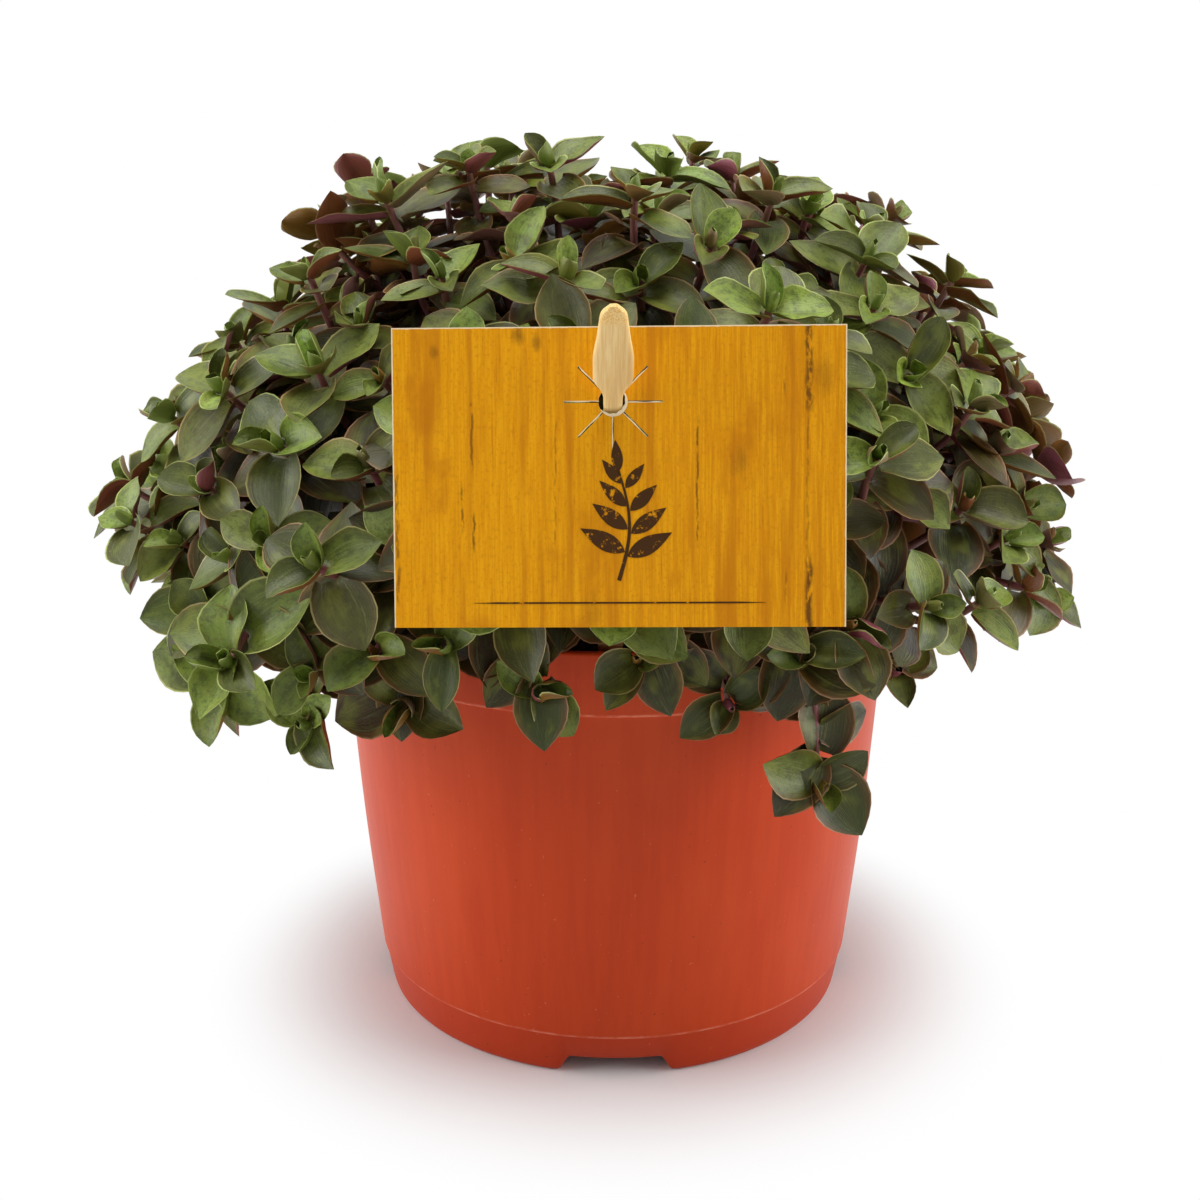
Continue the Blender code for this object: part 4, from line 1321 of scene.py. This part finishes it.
def vineRoutes(random, feet, tips):
    # Main stems rise from the soil and bend out to the shoots' own tips. Side stems leave the
    # nearest main stem and end at the tips between them. Every stem ends facing out, up and a
    # little to the front, where the light is. The moves are how far its two ends settle later.
    places, outer = growingTips(random, tips)
    away = outward(places)
    mains = len(tips)
    up = np.array([0, 0, 1.0])
    x, y, z = places.T
    aside = ease(*vine["openRight"][0], x) * ease(*vine["openRight"][1], z)
    high = ease(*vine["crown"], z)
    lit = (ease(*vine["litFront"], y) * (1 - 0.9 * aside) * (1 - 0.5 * high))[:, None]
    lit = lit * np.array([0, -vine["lean"], 0])
    level = vine["flat"] * (ease(*vine["layered"][0], x) * ease(*vine["layered"][1], z))[:, None]
    # A tip faces out and to the light, and up as well. In the flat layers it faces nearly straight up.
    facing = (away * 0.66 + lit) * (1 - level) + up * (0.42 + 0.3 * level) + level * (0.04, 0.06, 0)
    low = ease(*vine["fringe"], z)[:, None]
    wild = (1 + 0.6 * np.maximum(aside, high)[:, None]) * (1 - 0.45 * level) * (1 - 0.5 * low)
    facing = unit(facing + random.normal(0, 0.15, away.shape) * wild)
    # Main stems start straight up and reach each tip along the way that it faces. In the fringe
    # they come from above, over the rim.
    routes = np.empty((len(places), 4, 3))
    gap = np.linalg.norm(places[:mains] - feet, axis=1, keepdims=True)
    routes[:mains, 0] = feet
    routes[:mains, 1] = feet + up * (0.25 * gap + 0.012 + 0.018 * low[:mains])
    routes[:mains, 2] = places[:mains] - facing[:mains] * (0.32 - 0.24 * low[:mains]) * gap
    routes[:mains, 2] += up * 0.034 * low[:mains]
    routes[:mains, 3] = places[:mains]
    owner = np.arange(len(places))
    for i in range(mains, len(places)):
        owner[i] = np.linalg.norm(places[:mains] - places[i], axis=1).argmin()
    # Side stems leave their main stem somewhere near its middle, and go on its way at first.
    steps = 40
    points, tangents = curvePoints(routes[:mains], steps)
    sides = np.arange(mains, len(places))
    leave = random.integers(14, 26, len(sides))
    starts = points[owner[sides], leave]
    firstWay = tangents[owner[sides], leave]
    gap = np.linalg.norm(places[sides] - starts, axis=1, keepdims=True)
    routes[sides, 0] = starts
    routes[sides, 1] = starts + firstWay * 0.35 * gap
    routes[sides, 2] = places[sides] - facing[sides] * (0.40 - 0.25 * low[sides]) * gap
    routes[sides, 2] += up * 0.022 * low[sides]
    routes[sides, 3] = places[sides]
    moves = np.zeros((len(places), 2, 3))
    moves[:, 1] = settled(places)
    moves[sides, 0] = moves[owner[sides], 1] * ease(0, 1, leave / steps)[:, None]
    return routes, facing, level[:, 0], owner, outer, moves


def leavesOn(random, routes, facing, level, outer):
    # The leaves of every stem: each sits where its stage says, on the other side from the one
    # before, turned a little further round. Near the tip the stem's heading gives way to the way
    # that its rosette faces. The stems inside the mound carry fewer leaves.
    steps = 60
    points, tangents = curvePoints(routes, steps)
    lengths = np.linalg.norm(np.diff(points, axis=1), axis=2)
    reach = np.concatenate([np.zeros((len(points), 1)), np.cumsum(lengths, 1)], 1)
    rows = []
    for i in range(len(routes)):
        size = random.uniform(0.84, 1.12)
        first = random.uniform(0, 2 * np.pi)
        drift = np.radians(random.uniform(18, 50)) * random.choice([-1, 1])
        stretch = random.uniform(0.8, 1.3)
        vigour = random.uniform(-0.12, 0.16)
        for k, stage in enumerate(leafStages[:len(leafStages) if i < outer else vine["innerLeaves"]]):
            down = stage[0] * 0.001 * stretch
            place = reach[i, -1] - down
            if place < vine["bareFoot"]:
                break
            at = np.array([np.interp(place, reach[i], points[i, :, axis]) for axis in range(3)])
            way = np.array([np.interp(place, reach[i], tangents[i, :, axis]) for axis in range(3)])
            turned = ease(*vine["faceWithin"], down)
            way = way * (1 - turned) + facing[i] * turned
            turn = first + k * (np.pi + drift) + random.normal(0, 0.16)
            along = np.interp(place, reach[i], np.linspace(0, 1, steps + 1))
            rows.append((i, k, *at, *way, turn, size, vigour, i >= outer, level[i], along))
    rows = np.array(rows)
    names = ("turn", "size", "vigour", "inner", "level", "along")
    return {"stem": rows[:, 0].astype(int), "stage": rows[:, 1].astype(int), "foot": rows[:, 2:5],
            "way": rows[:, 5:8], **dict(zip(names, rows[:, 8:].T))}


def settled(places):
    # How far each grown tip still moves: out from the mound's middle by the amount at its bearing,
    # and on the right side, behind its middle, to the right.
    local = places - (0, 0, vine["swellZ"])
    amount = atBearing(local, vine["settle"]) * 0.001
    move = unit(local) * (amount * besideShare(local))[:, None]
    move[:, 0] += vine["behindRight"] * ease(0.0, 0.030, places[:, 1]) * ease(0.050, 0.080, places[:, 0])
    return move


def moveOut(routes, leaves, moves):
    # The first two points of a stem's curve move with its lower end and the other two with its tip,
    # so every leaf on it moves by a mixture of the two, the smooth share of the way along it.
    stem = leaves["stem"]
    share = ease(0, 1, leaves["along"])[:, None]
    leaves["foot"] += moves[stem, 0] * (1 - share) + moves[stem, 1] * share
    routes[:, :2] += moves[:, :1]
    routes[:, 2:] += moves[:, 1:]


def leafFacts(random, leaves):
    # The sizes and angles of each leaf, from its stage and a little chance.
    stage, foot = leaves["stage"], leaves["foot"]
    count = len(stage)
    _, length, width, footSlope, tipSlope, footCurl, tipCurl, roll = leafStages[stage].T

    def chance(spread):
        return random.normal(0, spread, count)

    up = unit(leaves["way"])
    level = unit(np.cross(up, np.array([0.31, 0.17, 0.93])))
    other = np.cross(up, level)
    turn = leaves["turn"][:, None]
    out = level * np.cos(turn) + other * np.sin(turn)
    size = leaves["size"] * (1 + chance(0.05))
    axes = (vine["left"], vine["left"], vine["rise"])
    # Leaves deep in the mound and those of the inner stems count as older: partly their real age, and partly
    # painted shade where the outer leaves cover them.
    deep = np.linalg.norm((foot - (0, 0, vine["centreZ"])) / axes, axis=1)
    inside = np.maximum(leaves["inner"], ease(*vine["inside"], deep))
    agedAndShaded = np.clip(stage / 10, 0, 1) + vine["innerAgeAndShade"] * inside
    agedAndShaded = agedAndShaded - 0.16 * ease(*vine["freshFringe"], foot[:, 2])
    high = ease(*vine["narrowLeaves"], foot[:, 2])
    return {
        "foot": foot, "up": up, "out": out,
        "length": length * 0.001 * size,
        "width": width * 0.001 * size * (1 + chance(0.08)) * (1 - 0.12 * high),
        "footSlope": np.radians(footSlope + chance(5)),
        "tipSlope": np.radians(tipSlope + chance(9) + 16 * leaves["level"]),
        "footCurl": np.radians(footCurl * (1 + chance(0.06))),
        "tipCurl": np.radians(np.maximum(tipCurl * (1 + chance(0.45)), 5)),
        "widest": np.clip(0.44 + chance(0.03), 0.34, 0.50),
        "footShare": np.clip(0.60 + chance(0.05), 0.45, 0.75),
        "point": np.where(stage > 0, 2.35 - 0.07 * np.minimum(stage, 4) - 0.25 * high + chance(0.12), 3.5),
        "roll": roll,
        "twist": chance(0.22),
        "keel": np.abs(chance(0.16)),
        "wave": chance(0.07),
        "waves": random.uniform(0.8, 1.6, count),
        "seed": random.uniform(0, 1, count),
        "tint": random.uniform(0, 1, count),
        "ageAndShade": np.clip(agedAndShaded + leaves["vigour"] + chance(0.06), 0, 1),
        "thickness": vine["thickness"] * (1 + chance(0.1)),
        "stem": leaves["stem"],
        "stage": stage,
    }


def leafPatch(patch, template, leaf):
    # All leaves of one template, kept clear of the hard parts. Each side of a leaf is one island of
    # the map.
    points = keepClear(bladePoints(template, leaf))
    count, size = len(points), template["count"]
    facts = np.stack([leaf["ageAndShade"], leaf["tint"], leaf["seed"], np.zeros(count)], -1)
    batch = {"points": points.reshape(-1, 3), "facts": np.repeat(facts, size, 0)}
    places = template["places"] * (0.5, 1) + (0.5, 0)
    island = np.arange(count)[:, None] * 2
    for kind, faces in (("quad", template["quads"]), ("tri", template["tris"])):
        under = template[kind + "Under"]
        batch[kind + "s"] = copiedFaces(faces, count, size)
        batch[kind + "Places"] = np.tile(places[faces], (count, 1, 1))
        batch[kind + "Under"] = np.tile(under, count)
        batch[kind + "Island"] = (island + under).ravel()
    addPatch(patch, **batch)


def stemPatch(patch, random, routes, mains):
    # Tubes along the routes that grow thinner to their tips, each one island of the map.
    rings, sides = vine["stemRings"], vine["stemSides"]
    points, tangents = curvePoints(routes, rings - 1)
    outside = np.linalg.norm(points[..., :2], axis=-1) > vine["outside"]
    points = clearOfPick(clearOfPot(points, outside))
    share = np.linspace(0, 1, rings)[None]
    radii = vine["stemRadius"] * (1.25 - 0.45 * share) * np.where(mains, 1.15, 1.0)[:, None]
    skin = tubePoints(points, tangents, radii, sides)
    count, size = skin.shape[:2]
    facts = np.stack([*(random.uniform(0, 1, count) for _ in range(3)), np.ones(count)], -1)
    batch = {"points": skin.reshape(-1, 3), "facts": np.repeat(facts, size, 0)}
    quads, fans, places, fanPlaces = tubeFaces(rings, sides)
    for kind, faces, spots in (("quad", quads, places), ("tri", fans, fanPlaces)):
        batch[kind + "s"] = copiedFaces(faces, count, size)
        batch[kind + "Places"] = np.tile(spots, (count, 1, 1))
        batch[kind + "Under"] = np.zeros(count * len(faces))
        batch[kind + "Island"] = np.repeat(np.arange(count), len(faces))
    addPatch(patch, **batch)


def clearOfCard(points):
    # Points near the card's back are pressed away from it, less and less to its sides.
    axes, centre = cardFrame()
    local = (points - centre) @ axes
    past = ease(*vine["cardSides"], np.abs(local[..., 0]))
    past = np.maximum(past, ease(*vine["cardEnds"], np.abs(local[..., 1])))
    near = 1 - past
    behind, gap = -local[..., 2], vine["cardGap"]
    pressed = gap + softFloor(behind - gap, vine["cardSoft"])
    move = (pressed - behind) * near
    return points - move[..., None] * axes[:, 2]


def clearOfPot(points, outside):
    # What hangs outside stays out of the wall, and what grows inside stays in the rim.
    radius = np.maximum(np.hypot(points[..., 0], points[..., 1]), 1e-6)
    beside = ease(*vine["besidePot"], points[..., 2])
    wall = wallRadius(points[..., 2])
    gap, rimGap, soft = vine["potGap"], vine["rimGap"], vine["potSoft"]
    out = wall + gap + softFloor(radius - wall - gap, soft)
    inner = wall - rimGap - softFloor(wall - rimGap - radius, soft)
    wanted = np.where(outside, out, inner)
    scale = 1 + (wanted / radius - 1) * beside
    return points * np.stack([scale, scale, np.ones_like(scale)], -1)


def clearOfPick(points):
    # Points near the pick's line are pushed out from it, and those far from it stay.
    axes, hole = pickFrame()
    local = (points - hole) @ axes
    radius = np.maximum(np.hypot(local[..., 0], local[..., 1]), 1e-6)
    pushed = (radius ** 4 + (vine["pickGap"] * pick["thickness"]) ** 4) ** 0.25
    scale = np.where(local[..., 2] < 0, pushed / radius, 1)
    local = local * np.stack([scale, scale, np.ones_like(scale)], -1)
    return local @ axes.T + hole


def keepClear(points):
    # A whole leaf counts as outside the pot or inside it, by its middle.
    middle = points.mean(1)
    outside = np.hypot(middle[:, 0], middle[:, 1])[:, None] > vine["outside"]
    return clearOfCard(clearOfPick(clearOfPot(points, outside)))


leafTones = {
    # two tones each, between which every leaf has one of its own
    "young": (paint(144, 164, 60), paint(126, 156, 60)),
    "grown": (paint(106, 124, 46), paint(120, 130, 58)),
    "old": (paint(62, 60, 21), paint(78, 54, 25)),
    # the darkest tone: painted shade for leaves deep in the mound, and for some others by chance
    "deep": (paint(42, 42, 15), paint(56, 40, 20)),
    "dark": (paint(58, 72, 24), paint(66, 66, 28)),
    "pale": (paint(156, 168, 96), paint(152, 156, 100)),
    "edge": (paint(188, 200, 118), paint(186, 144, 104)),  # of a young leaf, and of an old one
    "stem": (paint(140, 80, 84), paint(112, 82, 54)),
    "bright": paint(136, 142, 56),
    "flush": paint(118, 76, 38),  # towards the edge of an older leaf
    # the lower side: shares of the tint, and the colour there
    "under": ((0.0, paint(136, 100, 42)), (0.35, paint(124, 76, 36)), (0.62, paint(130, 70, 46)),
              (0.80, paint(152, 80, 98)), (0.93, paint(136, 112, 84))),
    "underYoung": paint(116, 132, 58),
    "underVein": paint(66, 30, 18),
    "roughness": 0.38,
    "shine": 0.31,
}


def vineSkin():
    # Leaves and stems. The upper side goes by age, with painted shade for leaves deep in the mound held in
    # the same number, and the lower one by tint, with veins along the blade, mottling, and a thin pale edge
    # that turns brownish with age. Stems are mottled from pinkish purple to brown.
    look = Shader("vineSkin")
    place = look.map("leafPlace")
    ageAndShade, tint, seed = look.number("ageAndShade"), look.number("tint"), look.number("seed")
    under, stem = look.number("under"), look.number("stem")
    x, y, _ = look.split(place)
    shift = look.maths("MULTIPLY", seed, 41.0)
    away = look.join(look.maths("ADD", x, shift), y, shift)
    veins = look.noise(look.mapped(away, scale=(30, 1.6, 1)), 1.0, 2.0, 0.55)
    mottle = look.noise(look.mapped(away, scale=(6.4, 7.0, 1)), 1.0, 5.0, 0.68)
    patches = look.noise(look.mapped(away, scale=(1.9, 1.8, 1)), 1.0, 2.0, 0.5)
    fleck = look.noise(look.mapped(away, scale=(22, 26, 1)), 1.0, 2.0, 0.6)
    side = look.maths("ABSOLUTE", look.maths("MULTIPLY_ADD", x, 2.0, -1.0))

    young = look.mix(tint, *leafTones["young"])
    grown = look.mix(tint, *leafTones["grown"])
    old = look.mix(tint, *leafTones["old"])
    upper = look.mix(look.band(ageAndShade, 0.08, 0.42), young, grown)
    upper = look.over(upper, old, ageAndShade, 0.42, 0.86)
    shade = look.maths("FRACT", look.maths("MULTIPLY", seed, 17.3))
    deep = look.mix(tint, *leafTones["deep"])
    # Painted shade: the oldest leaves, which include those deep in the mound, and by chance some others, turn
    # to the deep tone.
    upper = look.over(upper, deep, ageAndShade, 0.70, 1.0, 0.60)
    upper = look.over(upper, deep, shade, 0.25, 1.0, 0.80)
    dark = look.mix(tint, *leafTones["dark"])
    upper = look.over(upper, dark, mottle, 0.46, 0.62, 0.60)
    upper = look.over(upper, look.mix(ageAndShade, dark, deep), patches, 0.50, 0.70, 0.50)
    upper = look.over(upper, leafTones["bright"], patches, 0.50, 0.32, 0.45)
    pale = look.mix(tint, *leafTones["pale"])
    upper = look.over(upper, pale, veins, 0.52, 0.78, 0.28)
    flecked = look.maths("MULTIPLY", look.band(fleck, 0.58, 0.74, 0.0, 0.30), look.band(ageAndShade, 0.8, 0.1))
    upper = look.mix(flecked, upper, pale)
    upper = look.over(upper, dark, fleck, 0.44, 0.30, 0.40)
    flush = look.maths("MULTIPLY", look.band(side, 0.60, 1.0), look.band(ageAndShade, 0.25, 0.85, 0.05, 0.60))
    upper = look.mix(flush, upper, leafTones["flush"])

    brown = look.ramp(tint, leafTones["under"])
    lower = look.mix(look.band(ageAndShade, 0.04, 0.24, 1.0, 0.0), brown, leafTones["underYoung"])
    lower = look.over(lower, leafTones["underVein"], veins, 0.45, 0.75, 0.30)
    blade = look.mix(under, upper, lower)
    edgeColour = look.mix(look.band(ageAndShade, 0.20, 0.65), *leafTones["edge"])
    edge = look.maths("MULTIPLY", look.band(side, 0.925, 0.975), look.band(ageAndShade, 0.0, 1.0, 0.90, 0.65))
    blade = look.mix(edge, blade, edgeColour)
    stemTone = look.mix(look.band(mottle, 0.35, 0.7), *leafTones["stem"])
    colour = look.mix(stem, blade, stemTone)

    height = look.maths("ADD", look.maths("MULTIPLY", veins, 0.6), look.maths("MULTIPLY", fleck, 0.4))
    normal = look.bump(height, 0.28, 0.0006)
    return look.finish(colour, leafTones["roughness"], normal, leafTones["shine"])


def vinePiece(name, node, patch, material):
    # One shoot's leaves and stems as one mesh, with its places on the blade, its facts and a tidy
    # map in which each side of each leaf has a square of its own.
    joined = {key: np.concatenate(parts) for key, parts in patch.items()}
    piece = meshObject(name, joined["points"], joined["quads"], joined["tris"], material)
    mesh = piece.data
    places = np.concatenate([joined["quadPlaces"].reshape(-1, 2), joined["triPlaces"].reshape(-1, 2)])
    writeMap(mesh, "leafPlace", places)
    island = np.concatenate([np.repeat(joined["quadIsland"], 4), np.repeat(joined["triIsland"], 3)])
    across = int(np.ceil(np.sqrt(island.max() + 1)))
    margin = 0.05  # of a square, along each of its sides
    cell = np.stack([island % across, island // across], -1)
    writeMap(mesh, "OFBake", (cell + margin + places * (1 - 2 * margin)) / across)
    for column, fact in enumerate(("ageAndShade", "tint", "seed", "stem")):
        writeNumbers(mesh, fact, "POINT", joined["facts"][:, column])
    writeNumbers(mesh, "under", "FACE", np.concatenate([joined["quadUnder"], joined["triUnder"]]))
    sharpenBends(mesh, vine["sharpBend"])
    mesh.validate()
    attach(piece, "root")
    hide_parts(node)


def makeVine():
    # Routes first, then the leaves on them, both moved out to where they settle, and then one piece
    # for each shoot: its own stem, the side stems that leave it, and all their leaves.
    random = np.random.default_rng(vine["seed"])
    names, feet, tips = shootEnds()
    routes, facing, level, owner, outer, moves = vineRoutes(random, feet, tips)
    leaves = leavesOn(random, routes, facing, level, outer)
    moveOut(routes, leaves, moves)
    facts = leafFacts(random, leaves)
    blade, rolled = leafTemplate(*vine["blade"]), leafTemplate(*vine["rolled"])
    skin = vineSkin()
    mains = np.arange(len(routes)) < len(names)
    total = 0
    for index, node in enumerate(names):
        patch = {}
        mine = owner[facts["stem"]] == index
        for template, chosen in ((rolled, facts["stage"] < 1), (blade, facts["stage"] > 0)):
            wanted = mine & chosen
            if wanted.any():
                leafPatch(patch, template, {key: value[wanted] for key, value in facts.items()})
        stems = owner == index
        stemPatch(patch, random, routes[stems], mains[stems])
        vinePiece(f"foliage_{index + 1:02d}", node, patch, skin)
        total += sum(2 * len(quads) for quads in patch["quads"]) + sum(len(tris) for tris in patch["tris"])
    print("vine made:", len(routes), "stems,", len(facts["stage"]), "leaves,", total, "triangles")


makeCamera()
makeLight()
makeFloor()
makePot()
makeSoil()
makeCard()
makeSprig()
makePick()
makeVine()
